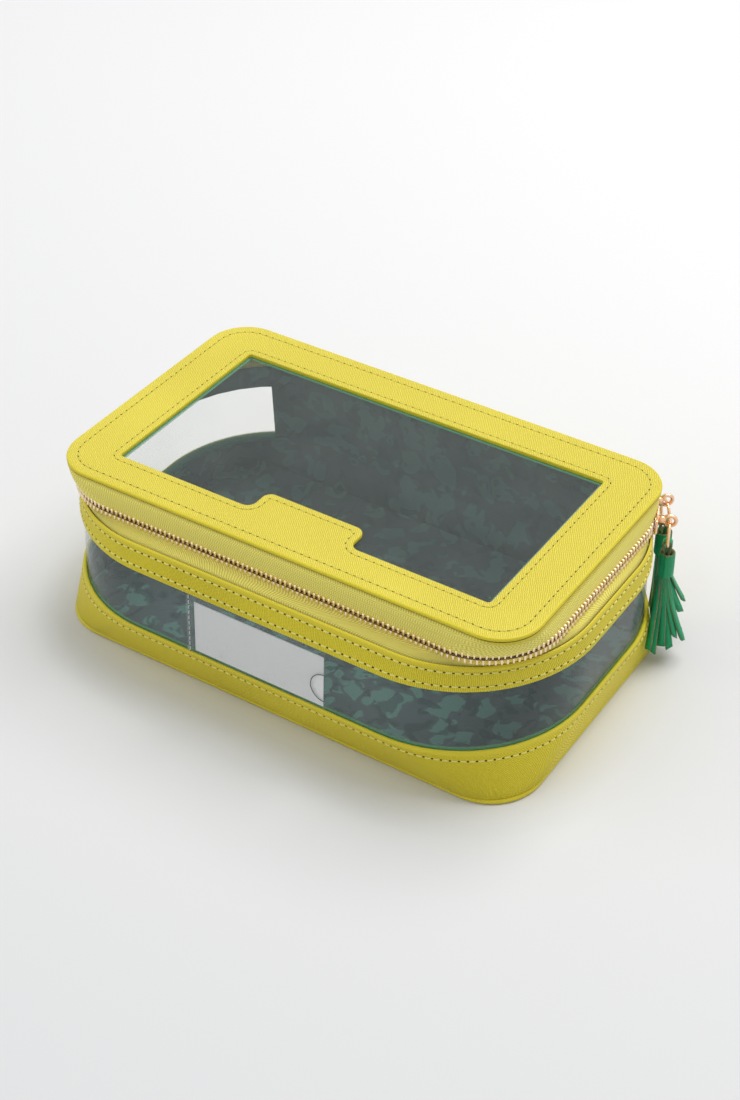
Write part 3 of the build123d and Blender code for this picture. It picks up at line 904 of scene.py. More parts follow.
def section_wall(rows: list, gap: float, marks: list | None = None) -> Draft:
    """A wall whose rows go round its own section.

    Args:
        rows: The section's rows, in order round the section.
        gap: Half the length left open at the back, or 0.
        marks: The finish of each strip, or None.

    Returns:
        The wall's draft.
    """
    draft = Draft()
    first = draft.rows(rows, around=not gap, wrapped=True, marks=marks)
    if gap:
        count = len(rows[0])
        for end in (first, first + count - 1):
            draft.cap([end + row * count for row in range(len(rows))])
    return draft


def parted(x: float, y: float) -> float:
    """How far each row of teeth stands from the chain's middle at a place, between the sliders."""
    corner_x, corner_y = CHAIN.flat
    if x < corner_x or y < corner_y:
        return 0.0
    turn = math.atan2(y - corner_y, x - corner_x)
    away = CHAIN.radius * abs(turn - math.radians(Zipper.nose_angle))
    share = (Zipper.parting_reach - away) / (Zipper.parting_reach - Zipper.parting_flat)
    return Zipper.parting * min(1.0, max(0.0, share))


@dataclass
class CaseLeather:
    """The base with its bottom, and the band under the zipper, with their seams."""

    finishes: Finishes
    base_turn: float = 22.1
    base_row: float = 20.0
    band_turn: float = 62.1
    band_rows: tuple = (55.4, 61.3)
    band_gap: float = 88.05
    groove: float = 0.12

    def base(self) -> None:
        """Build the base's band with its turned lip and the row of stitches under it."""
        profile = [
            (2.5, 1.6), (2.42, 0.9), (2.6, 0.3), (3.2, 0.02), (6.0, 0.0), (10.0, 0.0), (14.0, 0.0),
            (18.6, 0.0), (19.5, 0.05), (20.0, 0.15), (20.5, 0.05), (21.2, -0.04), (21.8, -0.02),
            (22.1, 0.1), (22.4, -0.02), (23.0, -0.16), (23.6, -0.04), (23.95, 0.35), (24.0, 0.8),
            (23.85, 1.3), (23.3, 1.6), (12.0, 1.6),
        ]
        marks = [int(height >= self.base_turn) for height, _ in profile]
        marks[-2:] = [2, 2]
        steps = {"corner": 20, "side": 10}
        wall = section_wall(wall_rows(base_level, profile, **steps), 0.0, marks)
        finishes = [self.finishes.base, self.finishes.turned, self.finishes.lining]
        wall.settle("base_band_leather", finishes, "case", "saffiano_leather", "base_band")
        seam = Seam(self.finishes)
        seam.sew(*wall_normals(base_level, self.base_row, self.groove, 0.0, **steps), closed=True)
        seam.settle("base_band_stitches", "case")

    def bottom(self) -> None:
        """Build the leather over the bottom board, with its seam underneath."""
        profile = [
            (2.4, 1.6), (2.38, 0.7), (2.0, 0.12), (1.3, -0.12), (0.6, 0.12), (0.15, 0.75),
            (0.0, 1.7), (0.0, 3.0), (0.5, 3.5), (0.5, 4.3), (0.0, 4.8), (0.0, 8.0),
        ]
        draft, steps = Draft(), {"corner": 16, "side": 6}
        draft.tube(wall_rows(base_level, profile, **steps), marks=[1] * 7 + [0] * 5)
        finishes = [self.finishes.base, self.finishes.turned]
        draft.settle("bottom_leather", finishes, "case", "saffiano_leather", "bottom_panel")
        seam = Seam(self.finishes, thread=0.2)
        points = [(x, y, 0.44) for x, y, _, _ in base_level(0.0).inside(3.9).run(**steps)]
        seam.sew(points, [(0, 0, -1)] * len(points), closed=True)
        seam.settle("bottom_stitches", "case")

    def band(self) -> None:
        """Build the band between the clear wall and the zipper, with its two rows."""
        profile = [
            (53.3, 1.2), (53.0, 0.9), (52.95, 0.5), (53.15, 0.12), (53.7, -0.06), (54.5, 0.0),
            (55.0, 0.05), (55.4, 0.15), (55.8, 0.05), (56.6, 0.0), (58.5, 0.0), (60.3, 0.0),
            (60.9, 0.05), (61.3, 0.15), (61.6, 0.05), (61.9, 0.0), (62.1, 0.09), (62.35, -0.04),
            (62.9, -0.18), (63.5, -0.08), (63.9, 0.25), (64.0, 0.65), (63.8, 1.0), (63.3, 1.15),
            (58.0, 1.2),
        ]
        marks = [int(height >= self.band_turn) for height, _ in profile]
        # The lip's inner side and the band's inner face take the painted shadow line: shade painted
        # between the lip and the tape.
        marks[-4:] = [2, 2, 2, 0]
        gap, steps = self.band_gap, {"corner": 22, "side": 10}
        wall = section_wall(wall_rows(band_level, profile, gap, **steps), gap, marks)
        finishes = [self.finishes.band, self.finishes.turned, self.finishes.painted_shadow]
        wall.settle("upper_band_leather", finishes, "case", "saffiano_leather", "upper_band")
        for name, height in zip(("lower", "upper"), self.band_rows):
            seam = Seam(self.finishes)
            points, normals = wall_normals(band_level, height, self.groove, gap, **steps)
            seam.sew(points[1:-1], normals[1:-1])
            seam.settle(f"band_{name}_stitches", "case")

    def build(self) -> None:
        """Build all of the case's leather."""
        self.base()
        self.bottom()
        self.band()


@dataclass
class BackHinge:
    """The back panel and the hinge in one leather skin, shaped round the fold."""

    finishes: Finishes
    panel_half: float = 88.0
    hinge_half: float = 83.0
    leather: float = 1.2
    stand: float = 0.15
    narrowing: tuple = (63.8, 2.6)
    side_row: float = 85.6
    foot_row: float = 27.0
    head_row: float = 75.6
    head_half: float = 80.0

    def half_at(self, height: float) -> float:
        """Half the skin's width at a height."""
        start, run = self.narrowing
        share = min(1.0, max(0.0, (height - start) / run))
        return self.panel_half + (self.hinge_half - self.panel_half) * eased(share)

    def outline(self, x: float, height: float, inset: float = 0.0) -> float:
        """The y of the walls' back at a place across and a height up to the band's top."""
        level = vinyl_level(min(height, BAND_TOP.height)).inside(inset)
        flat_x, flat_y = level.flat
        over = max(0.0, abs(x) - flat_x)
        return flat_y + math.sqrt(level.radius**2 - over**2)

    def skin(self, x: float, height: float) -> Vector:
        """A point of the outer face: on the walls' outline, then easing to the lid's edge."""
        if height <= BAND_TOP.height:
            return Vector((x, self.outline(x, height) + self.stand, height))
        share = (height - BAND_TOP.height) / (LID.height - BAND_TOP.height)
        bulge = 0.9 * math.sin(math.pi * share)
        line = BAND_TOP.width / 2 + (LID.width / 2 - BAND_TOP.width / 2) * share + bulge
        drawn = BAND_TOP.width / 2 - self.outline(x, BAND_TOP.height)
        return Vector((x, line + self.stand - drawn * (1 - share), height))

    def bindings(self) -> None:
        """Bind the seams where the clear wall meets the back, up both sides to the band's top."""
        section = (
            (85.02, 2.4), (89.3, 2.4), (89.6, 2.62), (89.35, 2.95), (88.6, 3.08), (88.3, 2.98),
            (88.0, 3.1), (87.3, 3.15), (86.1, 3.1), (85.8, 2.98), (85.4, 3.05), (85.02, 2.7),
        )
        heights = (22.0, 24.0, 28.0, 33.0, 38.0, 43.0, 48.0, 51.0, 53.0, 56.0, 59.0, 62.0)
        draft = Draft()
        for side in (-1, 1):
            draft.tube([
                [(side * x, self.outline(x, height, inset), height) for x, inset in section]
                for height in heights
            ])
        finishes = [self.finishes.lining]
        draft.settle(
            "back_binding_strips", finishes, "case", "printed_lining", "back_seam_bindings"
        )

    def ring(self, height: float) -> list:
        """The skin's section at a height, with rounded cut edges."""
        half, across = self.half_at(height), 36
        face = [
            self.skin(half - 0.5 - (2 * half - 1.0) * step / across, height)
            for step in range(across + 1)
        ]
        up = self.skin(0, height + 0.4) - self.skin(0, height - 0.4)
        inward = Vector((0, -up.z, up.y)).normalized() * self.leather
        side, edge = Vector((0.5, 0, 0)), ((0.12, 0.8), (0.5, 1.0), (0.9, 0.8))
        ring = face + [face[-1] - side * reach + inward * depth for depth, reach in edge]
        ring += [spot + inward for spot in reversed(face)]
        return ring + [face[0] + side * reach + inward * depth for depth, reach in reversed(edge)]

    def build(self) -> None:
        """Build the skin, its seams and the bindings inside."""
        self.bindings()
        heights = [24.1, 24.6, 25.6, 27.0, 31.0, 36.0, 41.0, 46.0, 50.0, 53.0, 56.0, 59.0, 61.5]
        heights += [63.2, 64.2, 65.0, 65.8, 66.7, 68.0, 70.0, 72.2, 74.4, 76.4, 77.9]
        draft = Draft()
        draft.tube([self.ring(height) for height in heights])
        skin = draft.piece("back_leather", [self.finishes.band])
        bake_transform(skin)
        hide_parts("back_panel", "hinge_strip")
        panel, hinge = Seam(self.finishes), Seam(self.finishes)
        for side in (-1, 1):
            points = [self.skin(side * self.side_row, height) for height in heights[3:13]]
            panel.sew(points, [(side * 0.45, 0.9, 0.1)] * len(points))
        half, steps = self.side_row, 60
        foot = [
            self.skin(-half + 2 * half * step / steps, self.foot_row) for step in range(steps + 1)
        ]
        panel.sew(foot, [(spot.x * 0.004, 0.95, 0.05) for spot in foot])
        panel.settle("back_panel_stitches", "case")
        half, steps = self.head_half, 40
        head = [
            self.skin(-half + 2 * half * step / steps, self.head_row) for step in range(steps + 1)
        ]
        hinge.sew(head, [(0, 0.82, 0.57)] * len(head))
        hinge.settle("hinge_stitches", "lid")


@dataclass
class ClearFront:
    """The clear wall, the welded label pocket's trims and its stitches."""

    finishes: Finishes
    sheet: float = 0.6
    inset: float = 1.65
    end: float = 85.7
    pocket: tuple = (-32.5, 33.0)
    behind: float = 0.78
    thumb: float = 6.5
    thumb_height: float = 34.8

    def wall(self) -> None:
        """Build the clear wall, which bellies out a little between the bands."""
        heights = [20.0, 23.0, 24.2, 25.0, 28.0, 32.0, 36.0, 41.0, 46.0, 50.0, 52.6, 54.0, 57.0]

        def belly(height: float) -> float:
            """How far the sheet stands out at a height."""
            share = (height - BASE_TOP.height) / (BAND_BOTTOM.height - BASE_TOP.height)
            return 0.3 * math.sin(math.pi * min(1.0, max(0.0, share)))

        outer = [(z, self.inset - belly(z)) for z in heights]
        inner = [(z, self.inset + self.sheet - belly(z)) for z in reversed(heights)]
        rows = wall_rows(vinyl_level, outer + inner, self.end, corner=22, side=14)
        wall = section_wall(rows, self.end)
        wall.settle("clear_wall_sheet", [self.finishes.wall], "case", "clear_vinyl", "clear_wall")

    def front_at(self, height: float, out: float) -> float:
        """The y of the front at a height, a little out from the clear sheet."""
        return self.behind - BASE_TOP.towards(BAND_BOTTOM, height).width / 2 - out

    def notch(self) -> None:
        """Build the cut edge of the thumb notch in the pocket's open side."""
        draft, rows = Draft(), []
        for step in range(25):
            turn = math.pi / 2 + math.pi * step / 24
            x = self.pocket[1] + self.thumb * math.cos(turn)
            z = self.thumb_height + self.thumb * math.sin(turn)
            centre = Vector((x, self.front_at(z, 0.16), z))
            arm = Vector((math.cos(turn), 0, math.sin(turn)))
            rows.append([
                centre + arm * 0.2 * near + Vector((0, 0.16 * deep, 0)) for near, deep in circle(8)
            ])
        draft.tube(rows)
        draft.settle("pocket_notch_edge", [self.finishes.notch], "case", "clear_vinyl")

    def trims(self) -> None:
        """Build the pocket's welded side with its stitches, and its raised edge lines."""
        draft = Draft()
        left, right = self.pocket
        heights = [24.4 + 28.2 * step / 10 for step in range(11)]
        for x, half, lift in ((left + 1.5, 1.5, 0.18), (right - 0.25, 0.28, 0.22)):
            section = ((-half, 0.0), (0.12 - half, lift), (half - 0.12, lift), (half, 0.0))
            first = draft.rows([
                [(x + across, self.front_at(z, out), z) for across, out in section]
                for z in heights
            ])
            for start in (first, len(draft.points) - len(section)):
                draft.cap(range(start, start + len(section)))
        draft.settle("pocket_welds", [self.finishes.pocket], "case", "clear_vinyl")
        self.notch()
        seam = Seam(self.finishes, pitch=2.6, thread=0.24, hole=0.26)
        points = [(left + 1.5, self.front_at(z, 0.2), z) for z in heights]
        seam.sew(points, [(0, -1, 0.04)] * len(points))
        seam.settle("pocket_stitches", "case", self.finishes.clear_thread)

    def build(self) -> None:
        """Build the clear parts of the case."""
        self.wall()
        self.trims()


@dataclass
class Zipper:
    """The zipper chain round three sides and both corners of the back, and its two tapes."""

    finishes: Finishes
    pitch: float = 2.2
    tip: float = -0.6
    root: float = 2.5
    stop: float = 1.2
    first_angle: float = 102.0
    last_angle: float = 78.0
    lid_gap: float = 83.05
    case_gap: float = 85.05
    tuck: tuple = (83.5, 12.5)
    nose_angle: ClassVar[float] = 32.0
    fine: ClassVar[int] = 60
    parting: ClassVar[float] = 0.95
    parting_flat: ClassVar[float] = 3.5
    parting_reach: ClassVar[float] = 8.0

    def path(self) -> list:
        """The chain's line from end to end: short steps of a point and the way out."""
        stops = []
        for side_x, side_y, start, end in (
            (-1, 1, self.first_angle, 180), (-1, -1, 180, 270),
            (1, -1, 270, 360), (1, 1, 0, self.last_angle),
        ):
            for step in range(self.fine + 1):
                turn = math.radians(start + (end - start) * step / self.fine)
                x, y, out_x, out_y = CHAIN.turned(side_x, side_y, turn)
                stops.append((Vector((x, y, 0)), Vector((out_x, out_y, 0))))
        return stops

    def places(self, distances: list) -> list:
        """Places along the chain.

        Args:
            distances: Distances from the chain's left end, rising.

        Returns:
            A point, the way out and the way along for each.
        """
        stops = self.path()
        found, passed, index = [], 0.0, 0
        for goal in distances:
            while index < len(stops) - 2:
                length = (stops[index + 1][0] - stops[index][0]).length
                if passed + length >= goal:
                    break
                passed += length
                index += 1
            (a, out_a), (b, out_b) = stops[index], stops[index + 1]
            length = (b - a).length
            share = (goal - passed) / length if length > 1e-9 else 0.0
            out = out_a.lerp(out_b, share).normalized()
            found.append((a.lerp(b, share), out, Vector((-out.y, out.x, 0))))
        return found

    def length(self) -> float:
        """The chain's whole length."""
        stops = self.path()
        return sum((b[0] - a[0]).length for a, b in zip(stops, stops[1:]))

    def row(self, row: Row) -> None:
        """Build one row of teeth, clamped on its tape.

        Args:
            row: Which row.
        """
        clear = 3 * self.stop
        phase = 0.0 if row is Row.LID else 0.5
        first = math.ceil(clear / self.pitch - phase)
        last = math.floor((self.length() - clear) / self.pitch - phase)
        sections = (
            (self.tip, 0.55, 1.0), (self.tip + 0.22, 0.8, 1.4), (0.1, 0.94, 1.6),
            (0.3, 0.86, 2.0), (0.5, 0.96, 2.3), (2.1, 1.04, 2.4),
            (2.38, 0.9, 2.25), (self.root, 0.6, 1.8),
        )
        draft = Draft()
        distances = [(count + phase) * self.pitch for count in range(first, last + 1)]
        for point, out, along in self.places(distances):
            lift = parted(point.x, point.y)
            rings = []
            for reach, wide, deep in sections:
                height = CHAIN.height + row.value * (reach + lift)
                rings.append(self.octagon(point, out, along, height, wide, deep))
            # The tip strips and the tip end take the painted shade finish, darkened where the heads
            # mesh.
            draft.tube(rings, marks=[1, 1, 1, 0, 0, 0, 0], caps=(1, 0))
        word, body = row.names
        finishes, nodes = [self.finishes.teeth, self.finishes.teeth_tip_shade], f"{word}_teeth"
        draft.settle(f"{nodes}_cast", finishes, body, "rose_gold", nodes, f"{nodes}_corner")

    def octagon(
        self, point: Vector, out: Vector, along: Vector, height: float, wide: float, deep: float
    ) -> list:
        """One section of a tooth: a rectangle with cut corners."""
        ring = []
        for a, b in (
            (1, 0.55), (0.6, 1), (-0.6, 1), (-1, 0.55),
            (-1, -0.55), (-0.6, -1), (0.6, -1), (1, -0.55),
        ):
            spot = point + along * (a * wide / 2) + out * (b * deep / 2)
            ring.append((spot.x, spot.y, height))
        return ring

    def tape(self, row: Row) -> None:
        """Build one tape: woven cloth from the leather to the teeth.

        Args:
            row: Which row's tape.
        """
        if row is Row.LID:
            gap = self.lid_gap
            outer = [
                CHAIN.towards(TAPE_TOP, z).inside(-0.3 - bulge)
                for z, bulge in (
                    (68.7, 0.0), (69.6, 0.25), (71.0, 0.6), (73.0, 0.9), (75.0, 0.85),
                    (76.4, 0.55), (77.4, 0.1), (78.3, -0.8),
                )
            ]
        else:
            gap = self.case_gap
            behind, edge = BAND_TOP.inside(1.3), CHAIN.inside(-0.2)
            outer = [edge.mixed(behind, share, z) for share, z in (
                (0.0, 67.3), (0.03, 66.7), (0.1, 66.0), (0.25, 65.35), (0.45, 64.85),
                (0.65, 64.45), (0.83, 64.0), (0.93, 63.3), (1.0, 62.2), (1.0, 60.6),
            )]
        rows = []
        for level in outer + [level.inside(0.55) for level in reversed(outer)]:
            near = max(0.0, 1 - abs(level.height - CHAIN.height) / 4)
            rows.append([
                (x, y, level.height + row.value * parted(x, y) * near)
                for x, y, _, _ in level.run(gap, corner=34, side=14)
            ])
        word, body = row.names
        section_wall(rows, gap).settle(
            f"{word}_tape_cloth", [self.finishes.tape], body, "woven_tape", f"{word}_zipper_tape"
        )

    def ends(self) -> None:
        """Build the cloth tucked under the back leather where the chain ends."""
        draft = Draft()
        section, steps = ((0.35, 62.5), (0.35, 71.4), (0.85, 71.4), (0.85, 62.5)), 6
        for side in (-1, 1):
            rings = []
            for step in range(steps + 1):
                turn = math.radians(self.tuck[0] - self.tuck[1] * step / steps)
                ring = [(*CHAIN.inside(depth).turned(1, 1, turn)[:2], z) for depth, z in section]
                rings.append([(side * x, y, z) for x, y, z in ring])
            draft.tube(rings[::side])
        draft.settle("chain_end_cloth", [self.finishes.tape], "case", "woven_tape")

    def build(self) -> None:
        """Build both rows, both tapes and the cloth at the chain's ends."""
        for row in Row:
            self.tape(row)
            self.row(row)
        self.ends()


@dataclass
class Lid:
    """The lid's leather frame round its clear window, with its two rows of stitches."""

    finishes: Finishes
    top: float = 80.0
    window: tuple = (172.0, 90.0)
    shift: float = -1.0
    corner: float = 1.5
    tab: tuple = (46.0, 12.0)
    tab_shift: float = 1.4
    tab_corner: float = 4.0
    outer_row: float = 4.6
    window_row: float = 3.0
    flat_from: float = 79.7

    def opening(self, inset: float) -> list:
        """The window's outline with the tab, moved out into the leather by an inset.

        Args:
            inset: How far into the leather.

        Returns:
            Points of x and y, anticlockwise.
        """
        half_x, half_y = self.window[0] / 2, self.window[1] / 2
        tab_half = self.tab[0] / 2
        front, back = self.shift - half_y, self.shift + half_y
        left, right = self.tab_shift - tab_half, self.tab_shift + tab_half
        high = front + self.tab[1]
        corners = [
            (-half_x, front, self.corner, 1), (left, front, self.tab_corner, 1),
            (left, high, self.tab_corner, -1), (right, high, self.tab_corner, -1),
            (right, front, self.tab_corner, 1), (half_x, front, self.corner, 1),
            (half_x, back, self.corner, 1), (-half_x, back, self.corner, 1),
        ]
        points = []
        steps, run, count = 10, 12, len(corners)
        for index, (_, _, radius, kind) in enumerate(corners):
            *_, next_radius, next_kind = corners[(index + 1) % count]
            spots = [Vector(corners[(index + step) % count][:2]) for step in range(-1, 3)]
            ways = [(b - a).normalized() for a, b in zip(spots, spots[1:])]
            come, leave, goal = (Vector((way.y, -way.x)) for way in ways)
            size = max(0.25, radius + inset * kind)
            centre = spots[1] + (come + leave) * inset - (come + leave) * size * kind
            for step in range(steps + 1):
                turn = math.pi / 2 * (step / steps)
                arm = (come * math.cos(turn) + leave * math.sin(turn)) * size * kind
                points.append(centre + arm)
            start, next_size = points[-1], max(0.25, next_radius + inset * next_kind)
            end = spots[2] + (leave + goal) * inset - ways[1] * next_size
            points += [start.lerp(end, step / run) for step in range(1, run)]
        return points

    def frame(self) -> None:
        """Build the leather: rolled outer edge, flat field and turned window edge."""
        outer_profile = [
            (3.2, 78.25), (1.0, 78.2), (0.4, 78.2), (0.25, 78.6), (-0.05, 78.75), (-0.08, 79.3),
            (0.18, 79.8), (0.5, 79.96), (0.9, 80.0), (1.5, 79.99), (2.4, 79.96), (3.2, 79.95),
            (4.0, 79.93), (4.35, 79.88), (4.6, 79.78), (4.85, 79.88), (5.2, 79.93), (6.0, 79.95),
        ]
        window_profile = [
            (1.6, 78.25), (0.12, 78.2), (0.0, 78.32), (-0.03, 79.0), (0.0, 79.62), (0.14, 79.87),
            (0.4, 79.95), (2.2, 79.95), (2.6, 79.93), (2.78, 79.88), (3.0, 79.78), (3.22, 79.88),
            (3.5, 79.93), (4.4, 79.95),
        ]
        outer = [
            [(x, y, height) for x, y, _, _ in LID.inside(inset).run(corner=18, side=14)]
            for inset, height in outer_profile
        ]
        window = [
            [(spot.x, spot.y, height) for spot in self.opening(inset)]
            for inset, height in window_profile
        ]
        draft, lines = Draft(), []
        # The underside and lowest side strip of the rolled edge take the painted shadow line: shade
        # painted under the lid's edge.
        for rows, marks in ((outer, [2] * 4 + [1] * 4 + [0] * 10), (window, [1] * 5 + [0] * 9)):
            draft.rows(rows, around=True, marks=marks)
            end = len(draft.points)
            lines.append(list(range(end - len(rows[0]), end)))
        self.field(draft, *lines)
        for index, around in enumerate(draft.faces):
            spots = [draft.points[i] for i in around]
            if min(spot.z for spot in spots) > self.flat_from:
                draft.maps[index] = tuple((spot.x, spot.y) for spot in spots)
        finishes = [self.finishes.top, self.finishes.turned, self.finishes.painted_shadow]
        draft.settle("lid_leather", finishes, "lid", "saffiano_leather", "lid_frame")

    def field(self, draft: Draft, rim: list, hole: list) -> None:
        """Fill the flat leather between two closed lines of points.

        Args:
            draft: The draft that holds the points.
            rim: The outer line's points.
            hole: The window line's points.
        """
        work = bmesh.new()
        corners = {index: work.verts.new(draft.points[index]) for index in rim + hole}
        for line in (rim, hole):
            for a, b in zip(line, line[1:] + line[:1]):
                work.edges.new((corners[a], corners[b]))
        bmesh.ops.triangle_fill(work, edges=work.edges[:], use_beauty=True, normal=(0, 0, 1))
        named = {vert: index for index, vert in corners.items()}
        for face in work.faces:
            around = tuple(named[vert] for vert in face.verts)
            maps = tuple((draft.points[i].x, draft.points[i].y) for i in around)
            draft.face(around, maps)
        work.free()

    def seams(self) -> None:
        """Sew the row along the lid's edge and the row round the window."""
        for name, line in (
            ("edge", [(x, y) for x, y, _, _ in LID.inside(self.outer_row).run(corner=18, side=14)]),
            ("window", [(p.x, p.y) for p in self.opening(self.window_row)]),
        ):
            seam = Seam(self.finishes, hole=0.55, sunk=0.1)
            points = [(x, y, self.top - 0.18) for x, y in line]
            seam.sew(points, [(0, 0, 1)] * len(points), closed=True)
            seam.settle(f"lid_{name}_stitches", "lid", self.finishes.lid_thread)

    def build(self) -> None:
        """Build the lid's leather and seams."""
        self.frame()
        self.seams()


@dataclass
class SliderSet:
    """A slider with its eye, the round ring and the leather tassel on it."""

    finishes: Finishes
    park: Park
    angle: float
    nose: int
    overlap: float
    seed: int
    fan: tuple
    ring_radius: float = 5.45
    wire: float = 0.64
    eye_out: float = 7.0
    ring_height: float = 62.7
    cap_top: float = 53.4
    cap_foot: float = 42.4
    cap_radius: float = 3.0
    cap_wind: float = 0.5
    strip_head: float = 50.0
    strip_out: float = 1.55

    def __post_init__(self) -> None:
        """Find the set's place on the chain."""
        turn = math.radians(self.angle)
        self.out = Vector((math.cos(turn), math.sin(turn), 0))
        self.along = Vector((-self.out.y, self.out.x, 0))
        self.origin = Vector((*CHAIN.flat, 0)) + CHAIN.radius * self.out
        self.origin.z = CHAIN.height

    def at(self, along: float, up: float, out: float) -> Vector:
        """A point by its distances along the chain, up and out from it."""
        return self.origin + self.along * along + Vector((0, 0, up)) + self.out * out

    def arm(self, turn: float) -> Vector:
        """The way out from the tassel's middle at a turn in radians."""
        return self.along * math.cos(turn) + self.out * math.sin(turn)

    def settle(self, draft: Draft, word: str, body: str, node: str) -> None:
        """Make one of the set's pieces, in plate or leather, named by the set's place."""
        place = self.park.value
        finishes, slot = [self.finishes.gold], "rose_gold"
        if body == "tassel":
            finishes, slot = [self.finishes.green, self.finishes.green_edge], "tassel_leather"
        draft.settle(f"{place}_{word}", finishes, f"{place}_{body}", slot, f"{place}_{node}")

    def plate(self, draft: Draft, depths: tuple, nose_high: float, tail_high: float) -> None:
        """Add one of the slider's plates, rounded towards its outside.

        Args:
            draft: The draft that it joins.
            depths: The plate's inner and outer distance from the chain.
            nose_high: Its height at the nose.
            tail_high: Its height at the tail.
        """
        (inner, outer), half, waist = depths, 5.0, -0.5
        upper = (
            (half, nose_high / 2, 1.1), (waist, tail_high / 2 - 0.35, 0.8),
            (-half, tail_high / 2, 0.9),
        )
        shape = [(x, -y, radius) for x, y, radius in reversed(upper)] + list(upper)
        outline = []
        for index, (x, y, radius) in enumerate(shape):
            here = Vector((x, y))
            before = Vector(shape[index - 1][:2])
            after = Vector(shape[(index + 1) % len(shape)][:2])
            start = here + (before - here).normalized() * radius
            end = here + (after - here).normalized() * radius
            for step in range(6):
                share = step / 5
                outline.append(start.lerp(here, share).lerp(here.lerp(end, share), share))
        way, thick = (1 if outer > inner else -1), abs(outer - inner)
        layers = ((0.0, 0.12), (0.12, 0.0), (0.55, 0.0), (0.8, 0.12), (0.95, 0.38), (1.0, 0.75))
        rows = []
        for share, draw in layers:
            ring = []
            for spot in outline:
                pulled = spot - spot.normalized() * draw
                bow = 0.35 * (1 - (spot.y / 3.8) ** 2) * share
                depth = inner + way * (thick * share + bow * 0.6)
                ring.append(self.at(self.nose * pulled.x, pulled.y, depth))
            rows.append(ring)
        draft.tube(rows)

    def block(self, draft: Draft, sizes: tuple) -> None:
        """Add a small block with soft edges.

        Args:
            draft: The draft that it joins.
            sizes: Lowest and highest distance along the chain, up and out.
        """
        (a0, a1), (u0, u1), (o0, o1) = sizes
        soft = 0.12
        draft.tube([
            [
                self.at(self.nose * a, u, out)
                for a, u in (
                    (a0 + draw, u0 + draw), (a1 - draw, u0 + draw),
                    (a1 - draw, u1 - draw), (a0 + draw, u1 - draw),
                )
            ]
            for out, draw in ((o0, soft), (o0 + soft, 0), (o1 - soft, 0), (o1, soft))
        ])

    def torus(self, draft: Draft, centre: Vector, axes: tuple, radius: float, wire: tuple) -> None:
        """Add a ring of wire.

        Args:
            draft: The draft that it joins.
            centre: The ring's centre.
            axes: Two directions in its plane.
            radius: Its radius to the wire's middle.
            wire: The wire's half width across the plane and half depth in it.
        """
        normal = axes[0].cross(axes[1])
        rows = []
        for far, across in circle(48):
            arm = axes[0] * far + axes[1] * across
            rows.append([
                centre + arm * (radius + wire[1] * near) + normal * wire[0] * deep
                for near, deep in circle(12)
            ])
        draft.rows(rows, around=True, wrapped=True)

    def slider(self) -> None:
        """Build the slider's body with its two plates, wedge, guides and eye."""
        draft = Draft()
        self.plate(draft, (1.35, 2.35), 7.6, 6.9)
        self.plate(draft, (-1.85, -2.85), 7.0, 6.6)
        self.block(draft, ((2.9, 4.7), (-0.22, 0.22), (-1.9, 1.5)))
        for up in (-1, 1):
            low, high = sorted((up * 3.05, up * 3.5))
            self.block(draft, ((-4.3, -0.8), (low, high), (0.95, 1.5)))
        self.block(draft, ((-1.0, 1.0), (-0.9, 2.6), (2.2, 5.2)))
        up = Vector((0, 0, 1))
        self.torus(draft, self.at(0, 1.0, self.eye_out), (self.out, up), 2.32, (0.9, 0.78))
        self.settle(draft, "slider_cast", "slider", "slider")

    def ring(self) -> None:
        """Build the round wire ring that hangs in the eye."""
        draft = Draft()
        centre = self.at(0, self.ring_height - CHAIN.height, self.eye_out)
        axes = (self.along, Vector((0, 0, 1)))
        self.torus(draft, centre, axes, self.ring_radius, (self.wire, self.wire))
        self.settle(draft, "ring_wire", "ring", "ring")

    def strap(self) -> None:
        """Build the strap that loops over the ring, with its two legs going into the cap."""
        reach, neck, top, foot = 1.6, 0.76, -10.35, -16.4
        shares = [step / 9 for step in range(9)]
        leg = [(neck + (reach - neck) * eased(s), foot + (top - foot) * s) for s in shares]
        turns = [math.pi * step / 14 for step in range(15)]
        line = leg + [(reach * math.cos(turn), top + reach * math.sin(turn)) for turn in turns]
        line += [(-out, up) for out, up in reversed(leg)]
        section = (
            (-1.5, -0.3), (-1.38, -0.45), (1.38, -0.45), (1.5, -0.3),
            (1.5, 0.3), (1.38, 0.45), (-1.38, 0.45), (-1.5, 0.3),
        )
        rows = []
        for index, (out, up) in enumerate(line):
            before, after = line[max(0, index - 1)], line[min(len(line) - 1, index + 1)]
            way = Vector((after[0] - before[0], after[1] - before[1])).normalized()
            rows.append([
                self.at(width, up - way.x * depth, self.eye_out + out + way.y * depth)
                for width, depth in section
            ])
        draft = Draft()
        draft.tube(rows, sides=(0, 2, 3, 4, 6, 7), caps=(1, 0))
        self.settle(draft, "tassel_strap", "tassel", "tassel_loop")

